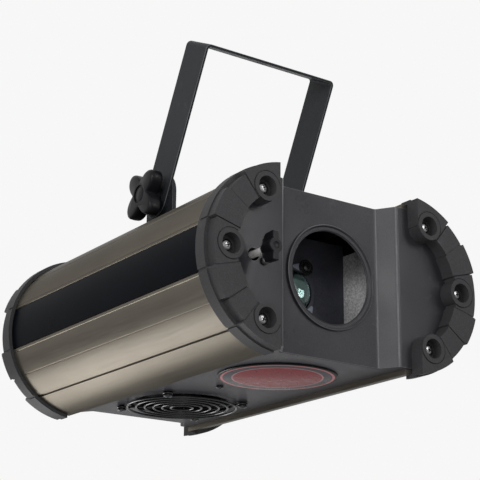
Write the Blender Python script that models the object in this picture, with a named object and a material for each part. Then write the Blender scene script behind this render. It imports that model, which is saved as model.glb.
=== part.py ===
# Flame effect light: a hanging projector that throws a moving picture of fire.
# X is the width, -Y the way the light shines, +Z up.
# The origin is below the middle of the light, on the surface its four end caps stand on.
# Depths are measured inwards from the outer face of the end caps, heights from the optical axis.

import math

import bmesh
import bpy
from mathutils import Matrix, Vector

MM = 0.001
GAP = 0.3 * MM                     # clearance between neighbouring pieces

# Body section: two half round side profiles joined by flat plates
BODY_LENGTH = 368 * MM             # between the outer faces of the front and rear caps
ARC_X = 61 * MM                    # distance of each side arc's centre from the middle
PROFILE_RADIUS = 76 * MM
PROFILE_WALL = 3.5 * MM
PROFILE_END_ANGLE = 84             # degrees above and below level where the arc stops
BAND_ANGLE = 15.2                  # half the angle of the recess for the dark band
BAND_RECESS = 1.8 * MM
BAND_THICKNESS = 1.1 * MM
BAND_SIDE_PLAY = 0.35              # degrees left free at each edge of the band
PORT_WIDTH = 9 * MM                # screw port inside the profile
PORT_REACH = 17.5 * MM             # how far a port stands in from the wall
PORT_SLOT = 4.6 * MM
PORT_SLOT_DEPTH = 10 * MM
SHELF_THICKNESS = 3 * MM
SHELF_INNER_X = 61.8 * MM
PLATE_DROP = 5 * MM                # outer face of the top and bottom plates below the arc's crown
PLATE_HEIGHT = PROFILE_RADIUS - PLATE_DROP
SHEET = 1.5 * MM                   # thickness of the folded steel sheet

# End caps
CAP_RADIUS = 79.7 * MM             # rear band, which wraps round the profile
CAP_DEPTH = 21 * MM
CAP_STEP_DEPTH = 9.2 * MM          # where the front band steps out to the rear band
CAP_LOW_RADIUS = 76 * MM
CAP_HIGH_RADIUS = 78.6 * MM
CAP_INNER_RADIUS = 54.5 * MM
CAP_END_X = 73.5 * MM              # the ring is cut straight here
CAP_BLOCK_THICKNESS = 1.6 * MM
BLOCK_LOW, BLOCK_HIGH = 15, 35     # degrees; the thick blocks of the ring
TOP_BLOCK_LOW = 52
BOSS_CIRCLE = 60 * MM
BOSS_ANGLES = (-65, 0, 65)
BOSS_RADIUS = 12.4 * MM
BOSS_PROUD = 0.5 * MM
COUNTERBORE_RADIUS = 8.6 * MM
COUNTERBORE_DEPTH = 8.4 * MM
SCREW_RADIUS = 2 * MM
SCREW_HOLE_RADIUS = 2.6 * MM
SCREW_HEAD_RADIUS = 4 * MM
SCREW_HEAD_HEIGHT = 3.2 * MM
CAP_SCREW_LENGTH = 27 * MM

# Front and rear panels: folded sheets with a recessed middle
WING_DEPTH = 13.6 * MM
RECESS_DEPTH = 29.7 * MM
WING_INNER_X = 60.4 * MM
RECESS_HALF_WIDTH = 50.6 * MM
OPENING_RADIUS = 40.3 * MM
TRIM_WIDTH = 5.3 * MM
TRIM_OUTER_RADIUS = OPENING_RADIUS + TRIM_WIDTH
TRIM_HEIGHT = 2.4 * MM

# Focus control and objective lens
FOCUS_ROD_X = -90 * MM
FOCUS_ROD_RADIUS = 3 * MM
FOCUS_ROD_HOLE = 5.2 * MM
FOCUS_IN = 7 * MM                  # travel towards the body
FOCUS_OUT = 13 * MM                # travel away from the body
KNOB_REACH = 17 * MM               # knob face in front of the caps
KNOB_LENGTH = 19.5 * MM
KNOB_SECTIONS = (                  # depth, hub radius, reach of the two wings, half thickness of a wing
    (2.5 * MM, 4.6 * MM, 4.6 * MM, 4.6 * MM),
    (-0.5 * MM, 4.8 * MM, 4.8 * MM, 4.8 * MM),
    (-4.6 * MM, 5.4 * MM, 11.2 * MM, 3 * MM),
    (-15.5 * MM, 6.2 * MM, 12.3 * MM, 2.8 * MM),
    (-17 * MM, 5.6 * MM, 11.6 * MM, 2.2 * MM))
CARRIER_DEPTH = 0.2293 * BODY_LENGTH
CARRIER_TOP = 52 * MM
CARRIER_FOOT = 48 * MM
FOCUS_ARM_HALF = 7 * MM
FOCUS_ARM_END = 9 * MM             # beyond the focus rod's axis
LENS_BOX_HALF_WIDTH = 59 * MM    # inside of the light box round the lens
LENS_BOX_DEPTH = 0.2704 * BODY_LENGTH
LENS_BOX_TOP = 43 * MM
LENS_RADIUS = 21 * MM
LENS_THICKNESS = 9 * MM
GUIDE_OFFSET = 37 * MM
GUIDE_RADIUS = 3 * MM

# Effect wheels and their motors
WHEEL_X = 45 * MM
FLAME_WHEEL_RADIUS = 58 * MM
FLAME_WHEEL_DEPTH = 0.2826 * BODY_LENGTH
FLAME_WHEEL_THICKNESS = 1 * MM
FLAME_TONGUE = (                   # outline of a flame shaped opening: across, distance from the wheel's axis
    (-3.5 * MM, 26 * MM), (3 * MM, 27 * MM), (5 * MM, 36 * MM), (2 * MM, 45 * MM), (3.4 * MM, 53 * MM),
    (-2 * MM, 47 * MM), (-5 * MM, 36 * MM))
RIPPLE_WHEEL_RADIUS = 56 * MM
RIPPLE_WHEEL_DEPTH = 0.303 * BODY_LENGTH
RIPPLE_WHEEL_THICKNESS = 3 * MM
MOTOR_SHAFT_RADIUS = 2 * MM
MOTOR_PLATE_DEPTH = 0.3383 * BODY_LENGTH
BEAM_HOLE_RADIUS = 22 * MM
MOTOR_BOSS_RADIUS = 6 * MM
MOTOR_RADIUS = 24.5 * MM
MOTOR_LENGTH = 21 * MM

# Lamp house
HEAT_GLASS_SIDE = 52 * MM
HEAT_GLASS_THICKNESS = 3 * MM
CONDENSER_DEPTH = 0.4158 * BODY_LENGTH
CONDENSER_RADIUS = 25 * MM
CONDENSER_THICKNESS = 12 * MM
REFLECTOR_DEPTH = 0.4674 * BODY_LENGTH
REFLECTOR_RADIUS = 29 * MM
REFLECTOR_LENGTH = 37.5 * MM
REFLECTOR_NECK = 0.92             # share of the full curve where its neck is cut
LAMP_BRACKET_DEPTH = REFLECTOR_DEPTH + REFLECTOR_NECK * REFLECTOR_LENGTH + GAP
CRADLE_HALF_WIDTH = 34 * MM
CRADLE_TOP = 34 * MM
LAMP_HOLE_RADIUS = 9 * MM

# Fan in the bottom plate
FAN_SIZE = 92 * MM
FAN_DEPTH = LAMP_BRACKET_DEPTH + SHEET + 3 * MM + FAN_SIZE / 2
FAN_HEIGHT = 25 * MM
FAN_SCREW_SPACING = 82.5 * MM
FAN_BORE_RADIUS = 43 * MM
FAN_BLADE_RADIUS = 41 * MM
FAN_HUB_RADIUS = 19 * MM
GUARD_WIRE = 2 * MM
GUARD_INNER_RING = 10.5 * MM
GUARD_RING_STEP = 8.2 * MM
GUARD_RINGS = 6
GUARD_HOLE_RADIUS = 49.5 * MM      # hole in the bottom plate above the guard

# Disc label under the bottom plate
BADGE_DEPTH = 104.5 * MM
BADGE_RADIUS = 52 * MM
BADGE_THICKNESS = 1.2 * MM

# Yoke
YOKE_HALF_WIDTH = 73 * MM          # outer faces of the legs
YOKE_STRAP = 38 * MM
YOKE_THICKNESS = 2.5 * MM
YOKE_REACH = 148.5 * MM            # pivot to the outer face of the top bar
YOKE_BEND = 5 * MM
YOKE_LEAN = 26.7                   # degrees forward at rest
PIVOT_DEPTH = 195 * MM
PIVOT_HEIGHT = 103 * MM
PIVOT_HOLE = 4.6 * MM
CLAMP_HOLE = 6.5 * MM
SIDE_HOLE = 4.55 * MM              # two further holes in the top bar
SIDE_HOLE_X = 32 * MM
EAR_THICKNESS = 4 * MM
EAR_RADIUS = 22.5 * MM
EAR_BASE_HALF = 23 * MM
EAR_SHIFT = 3 * MM                 # an ear stands this much in front of the pivot
EAR_FOOT = 20 * MM
STUD_RADIUS = 4 * MM
STAR_RADIUS = 27 * MM
STAR_VALLEY = 13 * MM
STAR_HEIGHT = 13.2 * MM
STAR_HUB_RADIUS = 11 * MM
STAR_HUB_HEIGHT = 4.5 * MM
STAR_LOBES = 4
STAR_TURN = 50                     # degrees; where the first lobe points

# Chassis, transformer and circuit board
CHASSIS_X = 58 * MM                # inner face of the chassis plates
CHASSIS_SETBACK = 35 * MM          # from the rear caps' outer face
CHASSIS_END = BODY_LENGTH - CHASSIS_SETBACK
CHASSIS_TOP = 60 * MM
CORE_WIDTH = 46 * MM
CORE_LENGTH = 66 * MM
CORE_HEIGHT = 56 * MM
CORE_DEPTH = 0.64 * BODY_LENGTH
COIL_LENGTH = 40 * MM
COIL_HEIGHT = 78 * MM
COIL_WIDTH = 32 * MM
BOARD_LENGTH = 130 * MM
BOARD_HEIGHT = 90 * MM
BOARD_DEPTH = 0.598 * BODY_LENGTH
BOARD_CORNER = 6 * MM
BOARD_STANDOFF = 5 * MM
BOARD_THICKNESS = 1.6 * MM

# Rear connections, seen from behind
INLET_X, INLET_HEIGHT = 20 * MM, -32 * MM
INLET_FLANGE = (48 * MM, 24 * MM)
INLET_BODY = (27 * MM, 19.5 * MM)
INLET_MOUTH = (24.4 * MM, 16.2 * MM)
INLET_LENGTH = 20 * MM
FUSE_X, FUSE_HEIGHT = -16 * MM, -32 * MM
FUSE_RADIUS = 6.2 * MM
SWITCH_X, SWITCH_HEIGHT = -37 * MM, -32 * MM
SWITCH_SIZE = (15 * MM, 21 * MM)
ROCKER_ANGLE = 8                   # degrees each side of level
SOCKET_X, SOCKET_HEIGHT = 22 * MM, 8 * MM
SOCKET_FLANGE = (26 * MM, 31 * MM)
SOCKET_RADIUS = 11.5 * MM
SOCKET_MOUTH = 9.2 * MM
SOCKET_LENGTH = 22 * MM
VENT_SLOTS = 4
VENT_PITCH = 9 * MM
VENT_WIDTH = 3 * MM
VENT_HEIGHT = 26 * MM
EYE_SETBACK = 20 * MM              # from the fold at the rear of the top plate
EYE_DEPTH = BODY_LENGTH - RECESS_DEPTH - EYE_SETBACK
EYE_HALF_LENGTH = 20 * MM
EYE_HALF_WIDTH = 8 * MM
EYE_RISE = 12 * MM
EYE_HALF_GAP = 6 * MM
EYE_THICKNESS = 2.5 * MM

AXIS_Z = math.sqrt(CAP_RADIUS ** 2 - (CAP_END_X - ARC_X) ** 2)
FRONT_Y = (KNOB_REACH - BODY_LENGTH - BOSS_PROUD) / 2
REAR_Y = FRONT_Y + BODY_LENGTH
PLATE_EDGE_X = ARC_X + PROFILE_RADIUS * math.cos(math.radians(PROFILE_END_ANGLE)) - GAP
INSIDE_HEIGHT = PLATE_HEIGHT - SHEET - GAP   # free half height between the plates


def front(depth):
    return FRONT_Y + depth


def rear(depth):
    return REAR_Y - depth


def up(height):
    return AXIS_Z + height


# Materials

def make_material(name, color, roughness, metallic=0.0, alpha=1.0):
    material = bpy.data.materials.new(name)
    material.use_nodes = True
    shader = material.node_tree.nodes["Principled BSDF"]
    shader.inputs["Base Color"].default_value = (*color, 1)
    shader.inputs["Roughness"].default_value = roughness
    shader.inputs["Metallic"].default_value = metallic
    shader.inputs["Alpha"].default_value = alpha
    material.diffuse_color = (*color, alpha)
    return material


# Shapes

def finish_shape(shape):
    bmesh.ops.remove_doubles(shape, verts=shape.verts, dist=1e-6)
    bmesh.ops.recalc_face_normals(shape, faces=shape.faces)
    return shape


def on_axis(axis, a, b, h):
    """Point a, b across the axis and h along it: X takes y, z; Y takes x, z; Z takes x, y."""
    return {"X": (h, a, b), "Y": (a, h, b), "Z": (a, b, h)}[axis]


def prism(points, axis, low, high):
    """Closed outline pushed along an axis from low to high."""
    shape = bmesh.new()
    face = shape.faces.new([shape.verts.new(on_axis(axis, a, b, low)) for a, b in points])
    pushed = bmesh.ops.extrude_face_region(shape, geom=[face])
    moved = [item for item in pushed["geom"] if isinstance(item, bmesh.types.BMVert)]
    bmesh.ops.translate(shape, verts=moved, vec=Vector(on_axis(axis, 0, 0, high - low)))
    return finish_shape(shape)


def block(x, y, z):
    """Box from three (low, high) pairs."""
    return prism([(x[0], z[0]), (x[1], z[0]), (x[1], z[1]), (x[0], z[1])], "Y", y[0], y[1])


def plate_box(x, z, width, height, y_low, y_high):
    """Upright box centred on x, z."""
    return block((x - width / 2, x + width / 2), (y_low, y_high), (z - height / 2, z + height / 2))


def arc(centre_a, centre_b, radius, start, end, steps):
    angles = [math.radians(start + (end - start) * i / steps) for i in range(steps + 1)]
    return [(centre_a + radius * math.cos(t), centre_b + radius * math.sin(t)) for t in angles]


def circle(a, b, radius, sides):
    return arc(a, b, radius, 0, 360, sides)[:-1]


def rod(axis, a, b, radius, low, high, sides=16):
    return prism(circle(a, b, radius, sides), axis, low, high)


def turned(axis, a, b, outline, sides=24):
    """Outline of (radius, position along the axis), closed, turned once round the axis."""
    shape = bmesh.new()
    verts = [shape.verts.new(on_axis(axis, a + r, b, h)) for r, h in outline]
    edges = [shape.edges.new((verts[i - 1], verts[i])) for i in range(len(verts))]
    bmesh.ops.spin(shape, geom=verts + edges, cent=on_axis(axis, a, b, 0), axis=on_axis(axis, 0, 0, 1),
                   dvec=(0, 0, 0), angle=2 * math.pi, steps=sides, use_merge=True)
    bmesh.ops.remove_doubles(shape, verts=shape.verts, dist=1e-6)
    bmesh.ops.dissolve_degenerate(shape, dist=1e-7, edges=shape.edges)
    inside = [f for f in shape.faces if f.calc_area() < 1e-14]
    bmesh.ops.delete(shape, geom=inside, context="FACES")
    loose = [e for e in shape.edges if not e.link_faces]
    bmesh.ops.delete(shape, geom=loose, context="EDGES")
    return finish_shape(shape)


def loft(sections):
    """Skin through equal closed sections, closed at both ends."""
    shape = bmesh.new()
    loops = [[shape.verts.new(point) for point in section] for section in sections]
    for near, far in zip(loops, loops[1:]):
        for i in range(len(near)):
            shape.faces.new((near[i - 1], near[i], far[i], far[i - 1]))
    shape.faces.new(loops[0])
    shape.faces.new(list(reversed(loops[-1])))
    return finish_shape(shape)


def merged(shapes):
    """Several separate bodies in one mesh."""
    whole = bmesh.new()
    for shape in shapes:
        mesh = bpy.data.meshes.new("part_of_group")
        shape.to_mesh(mesh)
        whole.from_mesh(mesh)
        bpy.data.meshes.remove(mesh)
        shape.free()
    return whole


def turn_shape(shape, angle, axis, centre):
    spin = Matrix.Translation(centre) @ Matrix.Rotation(angle, 4, axis) @ Matrix.Translation(-centre)
    bmesh.ops.transform(shape, matrix=spin, verts=shape.verts)
    return shape


# Objects

def hang(child, pivot):
    """Fix an object to a joint's empty without moving its mesh."""
    child.parent = pivot
    child.matrix_parent_inverse = Matrix.Translation(-pivot.location)


def place(name, shape, material=None, pivot=None):
    mesh = bpy.data.meshes.new(name)
    shape.to_mesh(mesh)
    shape.free()
    mesh.shade_smooth()
    mesh.set_sharp_from_angle(angle=math.radians(32))
    thing = bpy.data.objects.new(name, mesh)
    bpy.context.scene.collection.objects.link(thing)
    if material:
        mesh.materials.append(material)
    if pivot:
        hang(thing, pivot)
    return thing


def work(thing, operation, shape):
    """Add, cut or keep with a hidden tool body."""
    tool = place(f"{thing.name}_{operation.lower()}_{len(thing.modifiers)}", shape)
    tool.parent = thing.parent
    tool.matrix_parent_inverse = thing.matrix_parent_inverse.copy()
    tool.hide_render = True
    tool.display_type = "WIRE"
    modifier = thing.modifiers.new(operation.title(), "BOOLEAN")
    modifier.operation = operation
    modifier.object = tool
    return thing


def cut(thing, shape):
    return work(thing, "DIFFERENCE", shape)


def add(thing, shape):
    return work(thing, "UNION", shape)


def keep(thing, shape):
    return work(thing, "INTERSECT", shape)


def joint_axis(name, location):
    pivot = bpy.data.objects.new(name, None)
    pivot.empty_display_size = 0.02
    pivot.location = location
    bpy.context.scene.collection.objects.link(pivot)
    return pivot


def screw(axis, a, b, head_at, outward, head_radius, head_height, shaft_radius, length):
    """Pan head screw: the head's underside lies at head_at and its top towards outward."""
    dome = head_height * 0.35
    outline = [(0, head_at + outward * head_height), (head_radius * 0.6, head_at + outward * head_height),
               (head_radius, head_at + outward * (head_height - dome)), (head_radius, head_at),
               (shaft_radius, head_at), (shaft_radius, head_at - outward * length),
               (0, head_at - outward * length)]
    return turned(axis, a, b, outline, sides=8)


# Side profiles and bands

def profile_outline(side):
    end = PROFILE_END_ANGLE
    inner = PROFILE_RADIUS - PROFILE_WALL
    shelf_low = INSIDE_HEIGHT - SHELF_THICKNESS
    inner_end = math.degrees(math.asin(shelf_low / inner))

    def polar(radius, angle):
        return (radius * math.cos(math.radians(angle)), radius * math.sin(math.radians(angle)))

    outline = arc(0, 0, PROFILE_RADIUS, -end, -BAND_ANGLE, 10)
    outline += arc(0, 0, PROFILE_RADIUS - BAND_RECESS, -BAND_ANGLE, BAND_ANGLE, 5)
    outline += arc(0, 0, PROFILE_RADIUS, BAND_ANGLE, end, 10)
    lip = polar(PROFILE_RADIUS, end)[0]
    shelf_end = SHELF_INNER_X - ARC_X
    outline += [(lip, INSIDE_HEIGHT), (shelf_end, INSIDE_HEIGHT), (shelf_end, shelf_low)]
    angle = inner_end
    for port in reversed(BOSS_ANGLES):
        half = math.degrees(math.asin(PORT_WIDTH / 2 / inner))
        if angle > port + half:
            outline += arc(0, 0, inner, angle, port + half, 4)
        outline += [rotate(point, port) for point in (
            (inner - PORT_REACH, PORT_WIDTH / 2), (inner - PORT_REACH, PORT_SLOT / 2),
            (inner - PORT_REACH + PORT_SLOT_DEPTH, PORT_SLOT / 2),
            (inner - PORT_REACH + PORT_SLOT_DEPTH, -PORT_SLOT / 2),
            (inner - PORT_REACH, -PORT_SLOT / 2), (inner - PORT_REACH, -PORT_WIDTH / 2))]
        angle = port - half
    outline += arc(0, 0, inner, angle, -inner_end, 2)
    outline += [(shelf_end, -shelf_low), (shelf_end, -INSIDE_HEIGHT), (lip, -INSIDE_HEIGHT)]
    return [(side * (ARC_X + a), up(b)) for a, b in outline]


def rotate(point, angle):
    t = math.radians(angle)
    return (point[0] * math.cos(t) - point[1] * math.sin(t), point[0] * math.sin(t) + point[1] * math.cos(t))


def make_sides(aluminium, band):
    start = front(WING_DEPTH + SHEET + GAP)
    end = rear(WING_DEPTH + SHEET + GAP)
    for label, side in (("left", -1), ("right", 1)):
        place(f"{label}_side_profile", prism(profile_outline(side), "Y", start, end), aluminium)
        low = PROFILE_RADIUS - BAND_RECESS + GAP
        reach = BAND_ANGLE - BAND_SIDE_PLAY
        strip = arc(0, 0, low, -reach, reach, 5) + arc(0, 0, low + BAND_THICKNESS, reach, -reach, 5)
        strip = [(side * (ARC_X + a), up(b)) for a, b in strip]
        place(f"{label}_side_band", prism(strip, "Y", front(CAP_DEPTH + GAP), rear(CAP_DEPTH + GAP)), band)


# End caps

def cap_angles():
    """Stations round the ring, with a close pair at each step of the rim."""
    slope = 0.3
    marks = [BLOCK_LOW, BLOCK_HIGH, TOP_BLOCK_LOW]
    upper = sorted([m - slope for m in marks] + [m + slope for m in marks] + [0, 8, 25, 43.5, 59, 66, 72])
    return [-a for a in reversed(upper) if a] + upper


def rim_radius(angle):
    a = abs(angle)
    return CAP_HIGH_RADIUS if BLOCK_LOW < a < BLOCK_HIGH or a > TOP_BLOCK_LOW else CAP_LOW_RADIUS


def ring_radius(angle):
    a = abs(angle)
    return CAP_INNER_RADIUS - (CAP_BLOCK_THICKNESS if BLOCK_LOW < a < BLOCK_HIGH else 0)


def cap_section(angle, cut_sign, place_depth, side):
    """One station of the ring; at a cut end every point moves round to the straight cut."""
    rim = rim_radius(angle if angle is not None else 90)
    inner = ring_radius(angle if angle is not None else 90)
    skirt = PROFILE_RADIUS + GAP
    points = [(inner, 0), (rim, 0), (rim, CAP_STEP_DEPTH), (CAP_RADIUS, CAP_STEP_DEPTH),
              (CAP_RADIUS, CAP_DEPTH), (skirt, CAP_DEPTH), (skirt, WING_DEPTH - GAP),
              (inner, WING_DEPTH - GAP)]
    section = []
    for radius, depth in points:
        if angle is None:
            across = CAP_END_X - ARC_X
            rise = cut_sign * math.sqrt(radius ** 2 - across ** 2)
        else:
            across = radius * math.cos(math.radians(angle))
            rise = radius * math.sin(math.radians(angle))
        section.append((side * (ARC_X + across), place_depth(depth), up(rise)))
    return section


def boss_centre(side, angle):
    t = math.radians(angle)
    return (side * (ARC_X + BOSS_CIRCLE * math.cos(t)), up(BOSS_CIRCLE * math.sin(t)))


def make_caps(plastic):
    for end, depth_at in (("front", front), ("rear", rear)):
        for label, side in (("left", -1), ("right", 1)):
            sections = [cap_section(None, -1, depth_at, side)]
            sections += [cap_section(a, 0, depth_at, side) for a in cap_angles()]
            sections += [cap_section(None, 1, depth_at, side)]
            ring = place(f"{end}_{label}_cap", loft(sections), plastic)
            centres = [boss_centre(side, a) for a in BOSS_ANGLES]
            face, back, floor = depth_at(-BOSS_PROUD), depth_at(WING_DEPTH - GAP), depth_at(COUNTERBORE_DEPTH)
            add(ring, merged([rod("Y", x, z, BOSS_RADIUS, face, back, 18) for x, z in centres]))
            mouth, through = depth_at(-5 * MM), depth_at(CAP_DEPTH)
            cut(ring, merged([rod("Y", x, z, COUNTERBORE_RADIUS, mouth, floor, 14) for x, z in centres]))
            cut(ring, merged([rod("Y", x, z, SCREW_HOLE_RADIUS, mouth, through, 8) for x, z in centres]))


def make_cap_screws(steel):
    for label, side in (("left", -1), ("right", 1)):
        for position, angle in zip(("lower", "middle", "upper"), BOSS_ANGLES):
            shape = screw("Y", *boss_centre(side, angle), front(COUNTERBORE_DEPTH - GAP), -1,
                          SCREW_HEAD_RADIUS, SCREW_HEAD_HEIGHT, SCREW_RADIUS, CAP_SCREW_LENGTH)
            place(f"{label}_{position}_cap_screw", shape, steel)


# Folded front and rear panels

def fold_shift(thickness):
    """How far a bend line moves outwards at this distance behind the panel's face."""
    run, fall = WING_INNER_X - RECESS_HALF_WIDTH, RECESS_DEPTH - WING_DEPTH
    return thickness * (math.hypot(run, fall) - run) / fall


def folded_outline(depth_at):
    """Plan of the folded sheet: wing, slope, recessed middle, slope, wing."""
    reach = ARC_X + PROFILE_RADIUS
    shift = fold_shift(SHEET)
    half = [(RECESS_HALF_WIDTH, RECESS_DEPTH), (WING_INNER_X, WING_DEPTH), (reach, WING_DEPTH)]
    back = [(reach, WING_DEPTH + SHEET), (WING_INNER_X + shift, WING_DEPTH + SHEET),
            (RECESS_HALF_WIDTH + shift, RECESS_DEPTH + SHEET)]
    loop = half + back
    mirrored = [(-x, d) for x, d in reversed(loop)]
    return [(x, depth_at(d)) for x, d in loop + mirrored]


def stadium(radius):
    right = arc(ARC_X, up(0), radius, -90, 90, 24)
    left = arc(-ARC_X, up(0), radius, 90, 270, 24)
    return right + left


def panel_sheet(name, depth_at, material):
    sheet = prism(folded_outline(depth_at), "Z", up(-PLATE_HEIGHT), up(PLATE_HEIGHT))
    panel = place(name, sheet, material)
    keep(panel, prism(stadium(PROFILE_RADIUS), "Y", depth_at(0), depth_at(2 * RECESS_DEPTH)))
    centres = [boss_centre(side, a) for side in (-1, 1) for a in BOSS_ANGLES]
    cut(panel, merged([rod("Y", x, z, SCREW_HOLE_RADIUS, depth_at(0), depth_at(CAP_DEPTH), 8)
                       for x, z in centres]))
    return panel


def make_front_panel(paint):
    panel = panel_sheet("front_panel", front, paint)
    low, high = front(0), front(2 * RECESS_DEPTH)
    cut(panel, rod("Y", 0, up(0), OPENING_RADIUS, low, high, 40))
    cut(panel, rod("Y", FOCUS_ROD_X, up(0), FOCUS_ROD_HOLE, low, high, 16))
    seat = front(RECESS_DEPTH - GAP)
    outline = [(OPENING_RADIUS, seat), (OPENING_RADIUS, seat - 0.7 * MM),
               (TRIM_OUTER_RADIUS - 2.4 * MM, seat - 1.1 * MM), (TRIM_OUTER_RADIUS - 1.6 * MM, seat - TRIM_HEIGHT),
               (TRIM_OUTER_RADIUS - 0.5 * MM, seat - TRIM_HEIGHT), (TRIM_OUTER_RADIUS, seat - 1.2 * MM),
               (TRIM_OUTER_RADIUS, seat)]
    place("lens_trim_ring", turned("Y", 0, up(0), outline, sides=40), paint)


def make_rear_panel(paint):
    panel = panel_sheet("rear_panel", rear, paint)
    low, high = rear(0), rear(2 * RECESS_DEPTH)

    def window(x, z, width, height):
        cut(panel, plate_box(x, z, width + 2 * GAP, height + 2 * GAP, high, low))

    window(INLET_X, up(INLET_HEIGHT), *INLET_BODY)
    window(SWITCH_X, up(SWITCH_HEIGHT), SWITCH_SIZE[0] - 2 * MM, SWITCH_SIZE[1] - 2 * MM)
    round_holes = [rod("Y", FUSE_X, up(FUSE_HEIGHT), FUSE_RADIUS + GAP, high, low, 20)]
    round_holes += [rod("Y", x, up(SOCKET_HEIGHT), SOCKET_RADIUS + GAP, high, low, 24)
                    for x in (-SOCKET_X, SOCKET_X)]
    cut(panel, merged(round_holes))
    first = -(VENT_SLOTS - 1) / 2
    vents = [plate_box((first + i) * VENT_PITCH + side * (ARC_X + 30 * MM), up(0), VENT_WIDTH, VENT_HEIGHT, high, low)
             for side in (-1, 1) for i in range(VENT_SLOTS)]
    cut(panel, merged(vents))


# Top and bottom plates

def plate_outline():
    """Plan of a plate whose ends follow the folded panels."""
    clear = SHEET + GAP
    shift = fold_shift(clear)
    corner = [(RECESS_HALF_WIDTH + shift, RECESS_DEPTH + clear), (WING_INNER_X + shift, WING_DEPTH + clear),
              (PLATE_EDGE_X, WING_DEPTH + clear)]
    right_front = [(x, front(d)) for x, d in corner]
    right_rear = [(x, rear(d)) for x, d in reversed(corner)]
    half = right_front + right_rear
    return half + [(-x, y) for x, y in reversed(half)]


def make_plates(paint, badge):
    bottom = prism(plate_outline(), "Z", up(-PLATE_HEIGHT), up(-PLATE_HEIGHT + SHEET))
    bottom = place("bottom_plate", bottom, paint)
    low, high = up(-PLATE_HEIGHT - 5 * MM), up(-PLATE_HEIGHT + 5 * MM)
    cut(bottom, rod("Z", 0, front(FAN_DEPTH), GUARD_HOLE_RADIUS, low, high, 36))
    top = prism(plate_outline(), "Z", up(PLATE_HEIGHT - SHEET), up(PLATE_HEIGHT))
    place("top_plate", top, paint)
    under = up(-PLATE_HEIGHT - GAP)
    rim = BADGE_THICKNESS
    outline = [(0, under), (BADGE_RADIUS, under), (BADGE_RADIUS, under - rim / 2),
               (BADGE_RADIUS - rim, under - rim), (0, under - rim)]
    place("badge_disc", turned("Z", 0, front(BADGE_DEPTH), outline, sides=40), badge)


# Yoke, its ears and star knobs

def make_yoke(paint, black):
    pivot_y, pivot_z = front(PIVOT_DEPTH), up(PIVOT_HEIGHT)
    tilt = joint_axis("yoke_tilt_axis", (0, pivot_y, pivot_z))
    outer, reach, bend = YOKE_HALF_WIDTH, YOKE_REACH, YOKE_BEND
    half = YOKE_STRAP / 2
    strap = [(outer, pivot_z - half)] + arc(outer - bend, pivot_z + reach - bend, bend, 0, 90, 4)
    strap += [(-x, z) for x, z in reversed(strap)]
    inset = YOKE_THICKNESS
    inside = [(outer - inset, pivot_z - half)]
    inside += arc(outer - bend, pivot_z + reach - bend, bend - inset, 0, 90, 4)
    inside += [(-x, z) for x, z in reversed(inside)]
    frame = place("yoke", prism(strap + list(reversed(inside)), "Y", pivot_y - half, pivot_y + half), paint, tilt)
    arch = arc(pivot_y, pivot_z, half, 180, 360, 12)
    arch += [(pivot_y + half, pivot_z + reach + half), (pivot_y - half, pivot_z + reach + half)]
    keep(frame, prism(arch, "X", -2 * outer, 2 * outer))
    cut(frame, rod("X", pivot_y, pivot_z, PIVOT_HOLE, -2 * outer, 2 * outer, 16))
    spots = [(0, CLAMP_HOLE), (-SIDE_HOLE_X, SIDE_HOLE), (SIDE_HOLE_X, SIDE_HOLE)]
    cut(frame, merged([rod("Z", x, pivot_y, radius, pivot_z + reach - half, pivot_z + reach + half, 16)
                       for x, radius in spots]))
    tilt.rotation_euler.x = math.radians(YOKE_LEAN)
    for label, side in (("left", -1), ("right", 1)):
        make_ear(label, side, paint)
        make_star(label, side, black)


def make_ear(label, side, paint):
    pivot_y, pivot_z = front(PIVOT_DEPTH), up(PIVOT_HEIGHT)
    base = up(PLATE_HEIGHT + GAP)
    outer = YOKE_HALF_WIDTH - YOKE_THICKNESS - GAP
    inner = outer - EAR_THICKNESS
    middle = pivot_y - EAR_SHIFT
    outline = [(middle + EAR_BASE_HALF, base)] + arc(middle, pivot_z, EAR_RADIUS, -8, 188, 16)
    outline += [(middle - EAR_BASE_HALF, base)]
    ear = place(f"{label}_yoke_ear", prism(outline, "X", side * inner, side * outer), paint)
    foot = sorted((side * (inner - EAR_FOOT), side * (inner + EAR_THICKNESS / 2)))
    add(ear, block(foot, (middle - EAR_BASE_HALF, middle + EAR_BASE_HALF), (base, base + EAR_THICKNESS)))
    beyond = sorted((side * PLATE_EDGE_X, side * (outer + 2 * MM)))     # step over the profile's edge
    cut(ear, block(beyond, (middle - 2 * EAR_RADIUS, middle + 2 * EAR_RADIUS),
                   (base - 2 * MM, up(PROFILE_RADIUS + GAP))))
    cut(ear, rod("X", pivot_y, pivot_z, PIVOT_HOLE, side * (inner - 2 * MM), side * (outer + 2 * MM), 16))


def star_outline(centre_y, centre_z):
    """Rim of the star knob: a radius that swings between lobe and valley."""
    points = []
    steps = STAR_LOBES * 7
    for i in range(steps):
        t = 2 * math.pi * i / steps
        swing = 0.5 + 0.5 * math.cos(STAR_LOBES * (t - math.radians(STAR_TURN)))
        radius = STAR_VALLEY + (STAR_RADIUS - STAR_VALLEY) * swing ** 0.8
        points.append((centre_y + radius * math.cos(t), centre_z + radius * math.sin(t)))
    return points


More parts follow.
